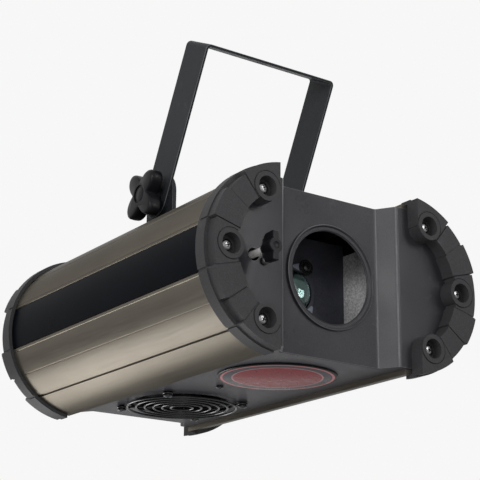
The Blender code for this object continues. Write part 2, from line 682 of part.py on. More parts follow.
def make_star(label, side, black):
    """Star knob with the stud moulded into it."""
    pivot_y, pivot_z = front(PIVOT_DEPTH), up(PIVOT_HEIGHT)
    turn = joint_axis(f"{label}_knob_axis", (side * YOKE_HALF_WIDTH, pivot_y, pivot_z))
    hub = YOKE_HALF_WIDTH + GAP
    star_low = hub + STAR_HUB_HEIGHT
    star_high = star_low + STAR_HEIGHT
    rim = star_outline(pivot_y, pivot_z)

    def ring(scale, x):
        return [(side * x, pivot_y + (y - pivot_y) * scale, pivot_z + (z - pivot_z) * scale) for y, z in rim]

    body = loft([ring(0.93, star_low), ring(1, star_low + 1.5 * MM), ring(1, star_high - 2 * MM),
                 ring(0.92, star_high)])
    knob = place(f"{label}_yoke_knob", body, black, turn)
    add(knob, rod("X", pivot_y, pivot_z, STAR_HUB_RADIUS, side * hub, side * (star_low + 2 * MM), 20))
    stud_low = YOKE_HALF_WIDTH - YOKE_THICKNESS - EAR_THICKNESS - 12 * MM
    add(knob, rod("X", pivot_y, pivot_z, STUD_RADIUS, side * stud_low, side * (star_low + 5 * MM), 16))


# Focus slide with the objective lens

def make_focus(paint, black, steel, glass):
    slide = joint_axis("focus_slide_axis", (0, front(CARRIER_DEPTH), up(0)))
    plate_low, plate_high = front(CARRIER_DEPTH), front(CARRIER_DEPTH + SHEET)
    half = LENS_BOX_HALF_WIDTH - 0.6 * MM
    outer_x = FOCUS_ROD_X - FOCUS_ARM_END
    outline = [(-half, -CARRIER_FOOT), (half, -CARRIER_FOOT), (half, CARRIER_TOP), (-half, CARRIER_TOP),
               (-half, FOCUS_ARM_HALF), (outer_x, FOCUS_ARM_HALF), (outer_x, -FOCUS_ARM_HALF),
               (-half, -FOCUS_ARM_HALF)]
    carrier = place("lens_carrier", prism([(x, up(z)) for x, z in outline], "Y", plate_low, plate_high),
                    paint, slide)
    guides = [(-GUIDE_OFFSET, up(GUIDE_OFFSET)), (GUIDE_OFFSET, up(-GUIDE_OFFSET))]
    add(carrier, merged([rod("Y", x, z, GUIDE_RADIUS + 3 * MM, plate_low - 4 * MM, plate_high + 4 * MM, 12)
                         for x, z in guides + [(FOCUS_ROD_X, up(0))]]))
    low, high = plate_low - LENS_RADIUS, plate_high + LENS_RADIUS
    clip_spots = lens_clip_spots()
    cut(carrier, merged([rod("Y", 0, up(0), LENS_RADIUS - 2 * MM, low, high, 24),
                         rod("Y", FOCUS_ROD_X, up(0), FOCUS_ROD_RADIUS + GAP, low, high, 10)]
                        + [rod("Y", x, z, GUIDE_RADIUS + GAP, low, high, 10) for x, z in guides]))
    seat = plate_low - GAP
    rim = seat - 2.5 * MM
    dome = [((LENS_RADIUS - 2.5 * MM) * math.sin(t), rim - (LENS_THICKNESS - 2.5 * MM) * math.cos(t))
            for t in (0, 0.4, 0.8, 1.2, math.pi / 2)]
    outline = [(0, seat), (LENS_RADIUS, seat), (LENS_RADIUS, rim)] + list(reversed(dome))
    place("objective_lens", turned("Y", 0, up(0), outline, sides=24), glass, slide)
    spacer = rim - GAP
    clip = [(LENS_RADIUS - 2 * MM, spacer - 1 * MM), (LENS_RADIUS + 1.5 * MM, spacer - 1 * MM),
            (LENS_RADIUS + 1.5 * MM, spacer), (LENS_RADIUS - 2 * MM, spacer)]
    clips = place("lens_clip_ring", turned("Y", 0, up(0), clip, sides=24), steel, slide)
    tongues = []
    for x, z, angle in clip_spots:
        strip = [(-4.5 * MM, -3.5 * MM), (3 * MM, -4.5 * MM), (13.5 * MM, -0.8 * MM), (13.5 * MM, 1.5 * MM),
                 (3 * MM, 4.5 * MM), (-4.5 * MM, 3.5 * MM)]
        strip = [rotate(point, angle) for point in strip]
        tongues.append(prism([(x + a, z + b) for a, b in strip], "Y", spacer - 1 * MM, spacer))
    add(clips, merged(tongues))
    rod_front, rod_back = front(-KNOB_REACH + KNOB_LENGTH - 14 * MM), front(CARRIER_DEPTH + 9 * MM)
    place("focus_rod", rod("Y", FOCUS_ROD_X, up(0), FOCUS_ROD_RADIUS, rod_front, rod_back, 16), steel, slide)
    make_focus_knob(black, slide, rod_front)
    for label, (x, z) in zip(("upper", "lower"), guides):
        place(f"{label}_guide_rod", rod("Y", x, z, GUIDE_RADIUS, front(RECESS_DEPTH + 3 * MM),
                                        front(LENS_BOX_DEPTH + 2.5 * MM), 10), steel)


def lens_clip_spots():
    """Three clips round the lens; the first is the one seen through the opening."""
    spots = []
    for angle in (61, 181, 301):
        t = math.radians(angle)
        radius = LENS_RADIUS + 5.2 * MM
        spots.append((radius * math.cos(t), up(radius * math.sin(t)), angle + 119))
    return spots


def make_focus_knob(black, slide, rod_front):
    """Finger knob with an upper and a lower wing on a round hub."""
    back = front(KNOB_LENGTH - KNOB_REACH)
    sections = []
    for depth, hub, reach, half in KNOB_SECTIONS:
        ring = []
        for i in range(48):
            t = 2 * math.pi * (i + 0.5) / 48
            radius = max(hub, min(reach, half / abs(math.cos(t))))
            ring.append((FOCUS_ROD_X + radius * math.cos(t), front(depth), up(radius * math.sin(t))))
        sections.append(ring)
    knob = place("focus_knob", loft(sections), black, slide)
    cut(knob, rod("Y", FOCUS_ROD_X, up(0), FOCUS_ROD_RADIUS + GAP, rod_front - GAP, back + 5 * MM, 16))


def make_lens_box(paint):
    """Light box round the lens: two walls on the bottom plate and a rear baffle."""
    low, high = front(WING_DEPTH + 6 * MM), front(LENS_BOX_DEPTH)
    inner, outer = LENS_BOX_HALF_WIDTH, LENS_BOX_HALF_WIDTH + SHEET
    outline = [(-outer, low), (-inner, low), (-inner, high - SHEET), (inner, high - SHEET), (inner, low),
               (outer, low), (outer, high), (-outer, high)]
    box = place("lens_box", prism(outline, "Z", up(-INSIDE_HEIGHT), up(LENS_BOX_TOP)), paint)
    guides = [(-GUIDE_OFFSET, up(GUIDE_OFFSET)), (GUIDE_OFFSET, up(-GUIDE_OFFSET))]
    cut(box, merged([rod("Y", x, z, GUIDE_RADIUS + GAP, high - 5 * MM, high + 5 * MM, 10) for x, z in guides]
                    + [rod("Y", 0, up(0), LENS_RADIUS, high - 5 * MM, high + 5 * MM, 24)]))
    slot = (front(CARRIER_DEPTH - FOCUS_OUT - 2 * MM), front(CARRIER_DEPTH + SHEET + FOCUS_IN + 2 * MM))
    height = FOCUS_ARM_HALF + 2 * MM
    cut(box, block((-outer - 2 * MM, -inner + 2 * MM), slot, (up(-height), up(height))))


# Effect wheels

def make_wheels(steel, glass, plastic, zinc):
    flame_axis = joint_axis("flame_wheel_axis", (WHEEL_X, front(FLAME_WHEEL_DEPTH), up(0)))
    disc_low = front(FLAME_WHEEL_DEPTH)
    disc_high = disc_low + FLAME_WHEEL_THICKNESS
    wheel = place("flame_wheel", rod("Y", WHEEL_X, up(0), FLAME_WHEEL_RADIUS, disc_low, disc_high, 32),
                  steel, flame_axis)
    slots = [turned("Y", WHEEL_X, up(0), [(3.4 * MM, disc_low - 2 * MM), (3.4 * MM, disc_high + 2 * MM),
                                          (0, disc_high + 2 * MM), (0, disc_low - 2 * MM)], sides=12)]
    slots += [flame_slot(i, disc_low, disc_high) for i in range(9)]
    cut(wheel, merged(slots))
    make_hub("flame_wheel_hub", WHEEL_X, disc_low, disc_high, plastic, flame_axis)
    ripple_axis = joint_axis("ripple_wheel_axis", (-WHEEL_X, front(RIPPLE_WHEEL_DEPTH), up(0)))
    low = front(RIPPLE_WHEEL_DEPTH)
    high = low + RIPPLE_WHEEL_THICKNESS
    outline = [(3.4 * MM, low), (RIPPLE_WHEEL_RADIUS, low), (RIPPLE_WHEEL_RADIUS, high), (3.4 * MM, high)]
    place("ripple_wheel", turned("Y", -WHEEL_X, up(0), outline, sides=32), glass, ripple_axis)
    make_hub("ripple_wheel_hub", -WHEEL_X, low, high, plastic, ripple_axis)
    motor_face = front(MOTOR_PLATE_DEPTH + SHEET + GAP)
    for label, x in (("flame", WHEEL_X), ("ripple", -WHEEL_X)):
        make_motor(f"{label}_motor", x, motor_face, zinc)


def flame_slot(index, low, high):
    """Tongue shaped opening near the rim of the flame wheel."""
    points = [rotate(point, index * 40) for point in FLAME_TONGUE]
    return prism([(WHEEL_X + a, up(b)) for a, b in points], "Y", low - 2 * MM, high + 2 * MM)


def make_hub(name, x, disc_front, disc_back, plastic, pivot):
    """Motor shaft with the flange that carries the wheel and a spigot through it."""
    low = disc_back + GAP
    shaft_end = front(MOTOR_PLATE_DEPTH) + SHEET + 5 * MM
    outline = [(0, disc_front - 1.5 * MM), (3.1 * MM, disc_front - 1.5 * MM), (3.1 * MM, low), (10 * MM, low),
               (10 * MM, low + 1.6 * MM), (5 * MM, low + 1.6 * MM), (5 * MM, low + 6 * MM),
               (MOTOR_SHAFT_RADIUS, low + 6 * MM), (MOTOR_SHAFT_RADIUS, shaft_end), (0, shaft_end)]
    place(name, turned("Y", x, up(0), outline, sides=12), plastic, pivot)


def make_motor(name, x, face, zinc):
    gearbox = 8 * MM
    outline = [(MOTOR_SHAFT_RADIUS + 4 * GAP, face + GAP), (MOTOR_RADIUS, face + GAP), (MOTOR_RADIUS, face + gearbox),
               (MOTOR_RADIUS - 1.5 * MM, face + gearbox), (MOTOR_RADIUS - 1.5 * MM, face + MOTOR_LENGTH),
               (MOTOR_SHAFT_RADIUS + 4 * GAP, face + MOTOR_LENGTH)]
    place(name, turned("Y", x, up(0), outline, sides=18), zinc)


def make_chassis(zinc):
    """Folded sheet: the motor plate in front and a long side on each side of the lamp house."""
    inner, outer = CHASSIS_X, CHASSIS_X + SHEET
    low, high = front(MOTOR_PLATE_DEPTH), front(CHASSIS_END)
    outline = [(-outer, low), (outer, low), (outer, high), (inner, high), (inner, low + SHEET),
               (-inner, low + SHEET), (-inner, high), (-outer, high)]
    chassis = place("chassis", prism(outline, "Z", up(-INSIDE_HEIGHT), up(CHASSIS_TOP)), zinc)
    window = MOTOR_RADIUS + 2 * MM
    add(chassis, block((-WHEEL_X - window, WHEEL_X + window), (low, low + SHEET), (up(-window), up(window))))
    cut(chassis, block((-outer - 2 * MM, outer + 2 * MM), (low + SHEET, low + MOTOR_LENGTH + 6 * MM),
                       (up(-window), up(window))))
    add(chassis, merged([rod("X", y, z, 3 * MM, -outer - BOARD_STANDOFF + GAP, -outer + SHEET / 2, 8)
                         for y, z in board_corners()]))
    cut(chassis, merged([rod("Y", x, up(0), radius, low - 3 * MM, low + 5 * MM, 20)
                         for x, radius in ((0, BEAM_HOLE_RADIUS), (WHEEL_X, MOTOR_BOSS_RADIUS),
                                           (-WHEEL_X, MOTOR_BOSS_RADIUS))]))


def make_lamp_cradle(zinc):
    """Folded sheet that stands on the bottom plate and holds the condenser and the lamp holder."""
    low, high = front(CONDENSER_DEPTH), front(LAMP_BRACKET_DEPTH + SHEET)
    base, top = up(-INSIDE_HEIGHT), up(CRADLE_TOP)
    outline = [(low, base), (high, base), (high, top), (high - SHEET, top), (high - SHEET, base + SHEET),
               (low + SHEET, base + SHEET), (low + SHEET, top), (low, top)]
    cradle = place("lamp_cradle", prism(outline, "X", -CRADLE_HALF_WIDTH, CRADLE_HALF_WIDTH), zinc)
    cut(cradle, rod("Y", 0, up(0), CONDENSER_RADIUS - 2 * MM, low - 3 * MM, low + 5 * MM, 24))
    cut(cradle, rod("Y", 0, up(0), LAMP_HOLE_RADIUS, high - 5 * MM, high + 3 * MM, 20))


# Lamp house

def make_lamp(glass, silver, ceramic):
    half = HEAT_GLASS_SIDE / 2
    back = front(CONDENSER_DEPTH - GAP)
    place("heat_glass", block((-half, half), (back - HEAT_GLASS_THICKNESS, back), (up(-half), up(half))), glass)
    seat = front(CONDENSER_DEPTH + SHEET + GAP)
    dome = [(CONDENSER_RADIUS * math.sin(t), seat + 3 * MM + (CONDENSER_THICKNESS - 3 * MM) * math.cos(t))
            for t in (1.45, 1.1, 0.75, 0.4, 0)]
    place("condenser_lens", turned("Y", 0, up(0), [(0, seat), (CONDENSER_RADIUS, seat)] + dome, sides=20), glass)
    rim, wall = front(REFLECTOR_DEPTH), 1.6 * MM
    shares = (0, 0.25, 0.5, 0.75, REFLECTOR_NECK)
    outer = [(REFLECTOR_RADIUS * math.sqrt(1 - s ** 1.7), rim + REFLECTOR_LENGTH * s) for s in shares]
    inner = [(r - wall, y - 0.2 * wall) for r, y in outer]
    place("lamp_reflector", turned("Y", 0, up(0), outer + list(reversed(inner)), sides=20), silver)
    base_end = front(LAMP_BRACKET_DEPTH - 2 * GAP)
    base_start = base_end - 8 * MM
    tip = base_start - 24 * MM
    capsule = [(0, base_start + 2 * MM), (3.6 * MM, base_start + 2 * MM), (6 * MM, base_start - 8 * MM),
               (6 * MM, tip + 5 * MM), (4.5 * MM, tip + 2 * MM), (1.5 * MM, tip), (0, tip)]
    lamp = place("lamp", turned("Y", 0, up(0), capsule, sides=16), glass)
    add(lamp, plate_box(0, up(0), 15 * MM, 8 * MM, base_start, base_end))
    pins = [rod("Y", x, up(0), 0.8 * MM, base_end - 2 * MM, base_end + 7 * MM, 8) for x in (-4 * MM, 4 * MM)]
    add(lamp, merged(pins))
    holder_low = front(LAMP_BRACKET_DEPTH + SHEET + GAP)
    holder = place("lamp_holder", plate_box(0, up(0), 30 * MM, 20 * MM, holder_low, holder_low + 16 * MM), ceramic)
    cut(holder, merged([rod("Y", x, up(0), 1.6 * MM, holder_low - 2 * MM, holder_low + 10 * MM, 10)
                        for x in (-4 * MM, 4 * MM)]))


# Fan and its guard

def make_fan(black, steel):
    centre_y = front(FAN_DEPTH)
    half = FAN_SIZE / 2
    low = up(-INSIDE_HEIGHT)
    high = low + FAN_HEIGHT
    frame = place("fan_frame", block((-half, half), (centre_y - half, centre_y + half), (low, high)), black)
    cut(frame, rod("Z", 0, centre_y, FAN_BORE_RADIUS, low - 5 * MM, high + 5 * MM, 32))
    spider = high - 2.5 * MM
    add(frame, merged([block((-half + 2 * MM, half - 2 * MM), (centre_y - 2.5 * MM, centre_y + 2.5 * MM), (spider, high - GAP))]))
    add(frame, merged([block((-2.5 * MM, 2.5 * MM), (centre_y - half + 2 * MM, centre_y + half - 2 * MM), (spider, high - GAP))]))
    add(frame, rod("Z", 0, centre_y, FAN_HUB_RADIUS, spider - 1 * MM, high, 24))
    spin = joint_axis("fan_axis", (0, centre_y, low))
    rotor_low, rotor_high = low + 2 * MM, spider - 1 * MM - 2 * GAP
    rotor = place("fan_impeller", rod("Z", 0, centre_y, FAN_HUB_RADIUS - 1 * MM, rotor_low, rotor_high, 24), black, spin)
    blades = []
    middle = (rotor_low + rotor_high) / 2
    for i in range(7):
        blade = block((FAN_HUB_RADIUS - 4 * MM, FAN_BLADE_RADIUS), (centre_y - 11 * MM, centre_y + 11 * MM),
                      (middle - 0.8 * MM, middle + 0.8 * MM))
        hub_point = Vector((0, centre_y, middle))
        turn_shape(blade, math.radians(32), "X", hub_point)
        blades.append(turn_shape(blade, 2 * math.pi * i / 7, "Z", hub_point))
    add(rotor, merged(blades))
    keep(rotor, rod("Z", 0, centre_y, FAN_BLADE_RADIUS, rotor_low - 1 * MM, rotor_high + 1 * MM, 40))
    make_guard(centre_y, steel)


def make_guard(centre_y, steel):
    top = up(-PLATE_HEIGHT - GAP)
    wire = GUARD_WIRE / 2

    def ring(radius):
        height = top - GUARD_WIRE - wire
        outline = [(radius - wire, height), (radius, height - wire), (radius + wire, height), (radius, height + wire)]
        return turned("Z", 0, centre_y, outline, sides=18)

    rings = [ring(GUARD_INNER_RING + i * GUARD_RING_STEP) for i in range(GUARD_RINGS)]
    guard = place("fan_guard", merged(rings), steel)
    reach = math.hypot(FAN_SCREW_SPACING / 2, FAN_SCREW_SPACING / 2)
    for angle in (45, 135):
        bar = block((-reach, reach), (centre_y - wire, centre_y + wire), (top - 1.6 * GUARD_WIRE, top))
        add(guard, turn_shape(bar, math.radians(angle), "Z", Vector((0, centre_y, 0))))
    spread = FAN_SCREW_SPACING / 2
    add(guard, merged([rod("Z", x, centre_y + y, 5 * MM, top - 1.2 * GUARD_WIRE, top - 0.1 * MM, 14)
                       for x in (-spread, spread) for y in (-spread, spread)]))


# Transformer and circuit board in the side chambers

def make_electrics(iron, copper, board_green):
    inner = CHASSIS_X + SHEET + GAP
    y = front(CORE_DEPTH)
    core = place("transformer_core", block((inner, inner + CORE_WIDTH), (y - CORE_LENGTH / 2, y + CORE_LENGTH / 2),
                                           (up(-CORE_HEIGHT / 2), up(CORE_HEIGHT / 2))), iron)
    middle = inner + CORE_WIDTH / 2
    coil_x = (middle - COIL_WIDTH / 2, middle + COIL_WIDTH / 2)
    coil_y = (y - COIL_LENGTH / 2, y + COIL_LENGTH / 2)
    coil_z = (up(-COIL_HEIGHT / 2), up(COIL_HEIGHT / 2))
    slack = GAP
    cut(core, block((coil_x[0] - slack, coil_x[1] + slack), (coil_y[0] - slack, coil_y[1] + slack), coil_z))
    place("transformer_coil", block(coil_x, coil_y, coil_z), copper)
    board_y = front(BOARD_DEPTH)
    face = -(CHASSIS_X + SHEET + BOARD_STANDOFF)
    half_length, half_height = BOARD_LENGTH / 2, BOARD_HEIGHT / 2
    outside = face - BOARD_THICKNESS
    board = place("circuit_board", block((outside, face), (board_y - half_length, board_y + half_length),
                                         (up(-half_height), up(half_height))), board_green)
    within = outside + BOARD_THICKNESS / 2
    unit, rise = half_length / 6, half_height / 4
    parts = [block((outside - CORE_WIDTH / 3, within), (board_y - 5 * unit, board_y - 2 * unit), (up(-3 * rise), up(0))),
             block((outside - CORE_WIDTH / 4, within), (board_y + unit, board_y + 4 * unit), (up(-3 * rise), up(-rise)))]
    parts += [rod("X", board_y + a * unit, up(2 * rise), 0.6 * unit, outside - CORE_WIDTH / 3, within, 12)
              for a in (-4, -2, 0, 2)]
    add(board, merged(parts))


def board_corners():
    return [(front(BOARD_DEPTH) + a * (BOARD_LENGTH / 2 - BOARD_CORNER), up(b * (BOARD_HEIGHT / 2 - BOARD_CORNER)))
            for a in (-1, 1) for b in (-1, 1)]


# Rear connections

def make_rear_fittings(black, red):
    face = rear(RECESS_DEPTH) + GAP            # just off the panel's outer face
    flange = 2.5 * MM
    inlet = place("mains_inlet", plate_box(INLET_X, up(INLET_HEIGHT), *INLET_FLANGE, face, face + flange), black)
    add(inlet, plate_box(INLET_X, up(INLET_HEIGHT), *INLET_BODY, face - INLET_LENGTH, face + flange / 2))
    cut(inlet, plate_box(INLET_X, up(INLET_HEIGHT), *INLET_MOUTH, face - INLET_LENGTH + 3 * MM, face + 2 * flange))
    pins = [plate_box(INLET_X + dx, up(INLET_HEIGHT) + dz, 2 * MM, 4.5 * MM, face - INLET_LENGTH + 2 * MM,
                      face - 4 * MM) for dx, dz in ((-7 * MM, -2 * MM), (0, 2 * MM), (7 * MM, -2 * MM))]
    add(inlet, merged(pins))
    fuse = [(2.2 * MM, face + 1.5 * MM), (8 * MM, face + 1.5 * MM), (8 * MM, face), (FUSE_RADIUS, face),
            (FUSE_RADIUS, face - 24 * MM), (2.2 * MM, face - 24 * MM)]
    place("fuse_holder", turned("Y", FUSE_X, up(FUSE_HEIGHT), fuse, sides=20), black)
    fuse_axis = joint_axis("fuse_cap_axis", (FUSE_X, face, up(FUSE_HEIGHT)))
    cap_low = face + 1.5 * MM + GAP
    cap = place("fuse_cap", rod("Y", FUSE_X, up(FUSE_HEIGHT), 6.5 * MM, cap_low, cap_low + 6 * MM, 20), black, fuse_axis)
    cut(cap, plate_box(FUSE_X, up(FUSE_HEIGHT), 9 * MM, 1.6 * MM, cap_low + 4.5 * MM, cap_low + 8 * MM))
    make_rocker(face, flange, black, red)
    for label, side in (("in", 1), ("out", -1)):
        x, z = side * SOCKET_X, up(SOCKET_HEIGHT)
        socket = place(f"data_{label}_socket", plate_box(x, z, *SOCKET_FLANGE, face, face + flange), black)
        add(socket, rod("Y", x, z, SOCKET_RADIUS, face - SOCKET_LENGTH, face + flange / 2, 24))
        cut(socket, rod("Y", x, z, SOCKET_MOUTH, face - SOCKET_LENGTH + 8 * MM, face + 2 * flange, 24))


def make_rocker(face, flange, black, red):
    x, z = SWITCH_X, up(SWITCH_HEIGHT)
    width, height = SWITCH_SIZE
    body = place("switch_frame", plate_box(x, z, width, height, face, face + flange), black)
    add(body, plate_box(x, z, width - 2 * MM, height - 2 * MM, face - 16 * MM, face + flange / 2))
    cut(body, plate_box(x, z, width - 4 * MM, height - 4 * MM, face - 10 * MM, face + 2 * flange))
    axis_y = face - 2 * MM
    rock = joint_axis("power_switch_axis", (x, axis_y, z))
    half = height / 2 - 2 * MM - 4 * GAP
    wedge = [(axis_y - 4 * MM, z - half * 0.7), (axis_y - 4 * MM, z + half * 0.7), (axis_y + 5.2 * MM, z + half * 0.86),
             (axis_y + 3.6 * MM, z), (axis_y + 5.2 * MM, z - half * 0.86)]
    half_width = width / 2 - 2 * MM - GAP
    place("power_rocker", prism(wedge, "X", x - half_width, x + half_width), red, rock)
    rock.rotation_euler.x = math.radians(-ROCKER_ANGLE)


def make_safety_eye(steel):
    """Bent strap on the top plate that a safety cable goes through."""
    y, base = front(EYE_DEPTH), up(PLATE_HEIGHT + GAP)
    thick, gap, top = EYE_THICKNESS, EYE_HALF_GAP, base + EYE_RISE
    half = [(EYE_HALF_LENGTH, base), (EYE_HALF_LENGTH, base + thick), (gap + thick, base + thick),
            (gap + 0.6 * thick, top + thick)]
    under = [(gap, base), (gap - 0.4 * thick, top)]
    outline = under + [(-x, z) for x, z in reversed(under)]
    outline += [(-x, z) for x, z in half] + list(reversed(half))
    place("safety_eye", prism(outline, "Y", y - EYE_HALF_WIDTH, y + EYE_HALF_WIDTH), steel)


def main():
    for thing in list(bpy.data.objects):
        bpy.data.objects.remove(thing)
    aluminium = make_material("champagne_aluminium", (0.30, 0.28, 0.25), 0.38, 0.7)
    band = make_material("band_black", (0.012, 0.012, 0.018), 0.35)
    plastic = make_material("cap_plastic", (0.085, 0.085, 0.09), 0.5)
    paint = make_material("panel_paint", (0.06, 0.06, 0.07), 0.45)
    yoke_paint = make_material("yoke_paint", (0.03, 0.035, 0.042), 0.5)
    black = make_material("black_plastic", (0.012, 0.012, 0.013), 0.4)
    steel = make_material("zinc_steel", (0.55, 0.55, 0.56), 0.3, 1.0)
    zinc = make_material("galvanised_sheet", (0.5, 0.51, 0.52), 0.45, 0.9)
    silver = make_material("mirror_silver", (0.85, 0.85, 0.86), 0.1, 1.0)
    glass = make_material("clear_glass", (0.85, 0.92, 0.9), 0.02, 0.0, 0.35)
    badge = make_material("badge_red_grey", (0.17, 0.12, 0.13), 0.4)
    ceramic = make_material("white_ceramic", (0.8, 0.78, 0.72), 0.6)
    copper = make_material("coil_copper", (0.45, 0.2, 0.1), 0.4, 0.6)
    green = make_material("board_green", (0.03, 0.16, 0.06), 0.5)
    red = make_material("rocker_red", (0.35, 0.02, 0.02), 0.3)
    make_sides(aluminium, band)
    make_caps(plastic)
    make_cap_screws(steel)
    make_front_panel(paint)
    make_rear_panel(paint)
    make_plates(paint, badge)
    make_yoke(yoke_paint, black)
    make_lens_box(paint)
    make_focus(zinc, black, steel, glass)
    make_wheels(zinc, glass, black, zinc)
    make_chassis(zinc)
    make_lamp_cradle(zinc)
    make_lamp(glass, silver, ceramic)
    make_fan(black, steel)
    make_electrics(zinc, copper, green)
    make_rear_fittings(black, red)
    make_safety_eye(steel)


main()
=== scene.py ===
import math

import bmesh
import bpy
from mathutils import Matrix, Vector


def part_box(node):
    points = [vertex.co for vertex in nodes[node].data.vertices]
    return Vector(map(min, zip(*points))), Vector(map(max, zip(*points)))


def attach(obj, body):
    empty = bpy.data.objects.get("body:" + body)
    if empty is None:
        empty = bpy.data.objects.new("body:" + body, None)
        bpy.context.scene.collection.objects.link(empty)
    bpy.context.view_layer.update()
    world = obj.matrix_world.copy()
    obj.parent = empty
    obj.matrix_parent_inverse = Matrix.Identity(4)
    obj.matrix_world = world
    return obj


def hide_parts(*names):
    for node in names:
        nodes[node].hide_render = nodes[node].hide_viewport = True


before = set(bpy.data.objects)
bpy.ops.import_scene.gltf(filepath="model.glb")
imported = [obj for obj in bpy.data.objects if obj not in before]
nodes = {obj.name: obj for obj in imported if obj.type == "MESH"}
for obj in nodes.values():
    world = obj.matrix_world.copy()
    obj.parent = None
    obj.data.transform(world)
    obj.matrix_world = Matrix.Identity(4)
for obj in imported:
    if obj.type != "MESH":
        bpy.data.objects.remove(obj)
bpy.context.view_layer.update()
scene = bpy.context.scene
scene.view_settings.view_transform = "Standard"
print("frame loaded")

# pieces are drawn in millimetres: x, depth behind the front caps' faces, height above the optical axis
mm = 0.001
weld = 0.0005         # points closer than this are one
bossProud = 0.5       # screw bosses stand this far out of the caps' faces
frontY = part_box("front_left_cap")[0].y + bossProud * mm
axisZ = (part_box("lens_trim_ring")[0].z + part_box("lens_trim_ring")[1].z) / 2
bodyLength = (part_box("rear_left_cap")[1].y - bossProud * mm - frontY) / mm
intoFrame = Matrix.Translation((0, frontY, axisZ)) @ Matrix.Scale(mm, 4)
toRear = Matrix.Translation((0, bodyLength, 0)) @ Matrix.Diagonal((1, -1, 1, 1))
toLeft = Matrix.Diagonal((-1, 1, 1, 1))
ways = {"X": Vector((1, 0, 0)), "Y": Vector((0, 1, 0)), "Z": Vector((0, 0, 1))}
sides = (-1, 1)
fullTurn = 2 * math.pi

# camera where the photographer stood, below and to the left of the light
view = {"place": (-0.7213, -1.05365, -0.26159), "right": (0.8204, -0.5717, 0.0079),
        "up": (-0.1815, -0.2474, 0.9518), "back": (-0.5422, -0.7823, -0.3067), "lens": 107.95, "sensor": 36}


def addCamera():
    data = bpy.data.cameras.new("photoCamera")
    data.lens = view["lens"]
    data.sensor_width = view["sensor"]
    camera = bpy.data.objects.new("photoCamera", data)
    scene.collection.objects.link(camera)
    aim = Matrix((view["right"], view["up"], view["back"])).transposed().to_4x4()
    camera.matrix_world = Matrix.Translation(view["place"]) @ aim
    scene.camera = camera


addCamera()


# shapes

def shifted(x=0, depth=0, height=0):
    return Matrix.Translation((x, depth, height))


def spun(degrees, axis):
    return Matrix.Rotation(math.radians(degrees), 4, axis)


def tidy(bm):
    bmesh.ops.remove_doubles(bm, verts=bm.verts, dist=weld)
    bmesh.ops.recalc_face_normals(bm, faces=bm.faces)
    return bm


def moved(bm, matrix):
    bmesh.ops.transform(bm, matrix=matrix, verts=bm.verts)
    return bm


def copied(bm, matrix=None):
    other = bm.copy()
    return moved(other, matrix) if matrix else other


def joined(*parts):
    whole = parts[0]
    for part in parts[1:]:
        mesh = bpy.data.meshes.new("joining")
        part.to_mesh(mesh)
        part.free()
        whole.from_mesh(mesh)
        bpy.data.meshes.remove(mesh)
    return whole


def vertsOf(geometry):
    return [g for g in geometry if isinstance(g, bmesh.types.BMVert)]


def softened(bm, geometry, radius, segments, affect="EDGES"):
    bmesh.ops.bevel(bm, geom=geometry, offset=radius, segments=segments, affect=affect, profile=0.5,
                    material=-1)


def edgesAcross(bm, test):
    # edges along x whose ends both stand at a height that passes the test
    return [e for e in bm.edges
            if abs(e.verts[0].co.x - e.verts[1].co.x) > 1 and all(test(v.co.z) for v in e.verts)]


def pushed(bm, push):
    out = bmesh.ops.extrude_face_region(bm, geom=bm.faces[:])
    bmesh.ops.translate(bm, verts=vertsOf(out["geom"]), vec=Vector(push))
    return tidy(bm)


def boxOf(x, depth, height, radius=0.0, along="Y", segments=8):
    # block between three pairs of values; the edges that run along an axis may be rounded
    bm = bmesh.new()
    low, high = Vector((x[0], depth[0], height[0])), Vector((x[1], depth[1], height[1]))
    size = Matrix.Diagonal((*(high - low), 1))
    bmesh.ops.create_cube(bm, size=1, matrix=Matrix.Translation((low + high) / 2) @ size)
    if radius:
        way = ways[along]
        edges = [e for e in bm.edges if abs((e.verts[0].co - e.verts[1].co).normalized().dot(way)) > 0.9]
        softened(bm, edges, radius, segments)
    return bm


def pushedOutline(points, push, rounds=()):
    # flat outline with some corners rounded, pushed to its thickness
    bm = bmesh.new()
    verts = [bm.verts.new(p) for p in points]
    bm.faces.new(verts)
    for corner, radius, segments in rounds:
        softened(bm, [verts[corner]], radius, segments, "VERTICES")
    return pushed(bm, push)


def turned(outline, centre=(0, 0, 0), axis="Y", steps=64):
    # outline of (radius, place along the axis), turned once round
    bm = bmesh.new()
    side = ways["Z"] if axis == "X" else ways["X"]
    verts = [bm.verts.new(Vector(centre) + side * r + ways[axis] * h) for r, h in outline]
    edges = [bm.edges.new(pair) for pair in zip(verts, verts[1:])]
    bmesh.ops.spin(bm, geom=verts + edges, cent=Vector(centre), axis=ways[axis], dvec=(0, 0, 0),
                   angle=fullTurn, steps=steps, use_merge=True)
    bmesh.ops.remove_doubles(bm, verts=bm.verts, dist=weld)
    bmesh.ops.dissolve_degenerate(bm, dist=0.8 * weld, edges=bm.edges)
    return tidy(bm)


def rodOf(radius, low, high, centre=(0, 0, 0), axis="Y", chamfer=0.0, steps=32):
    ends = [(radius, low), (radius, high)]
    if chamfer:
        ends = [(radius - chamfer, low), (radius, low + chamfer),
                (radius, high - chamfer), (radius - chamfer, high)]
    return turned([(0, low)] + ends + [(0, high)], centre, axis, steps)


def skinned(sections):
    # a skin over rings of points, closed at both ends
    bm = bmesh.new()
    last = None
    for i, ring in enumerate(sections):
        isEnd = i in (0, len(sections) - 1)
        made = bmesh.ops.create_circle(bm, cap_ends=isEnd, segments=len(ring), radius=1)["verts"]
        for vert, spot in zip(made, ring):
            vert.co = spot
        mine = set(made)
        edges = list({e for v in made for e in v.link_edges if e.other_vert(v) in mine})
        if last:
            bmesh.ops.bridge_loops(bm, edges=last + edges)
        last = edges
    return tidy(bm)


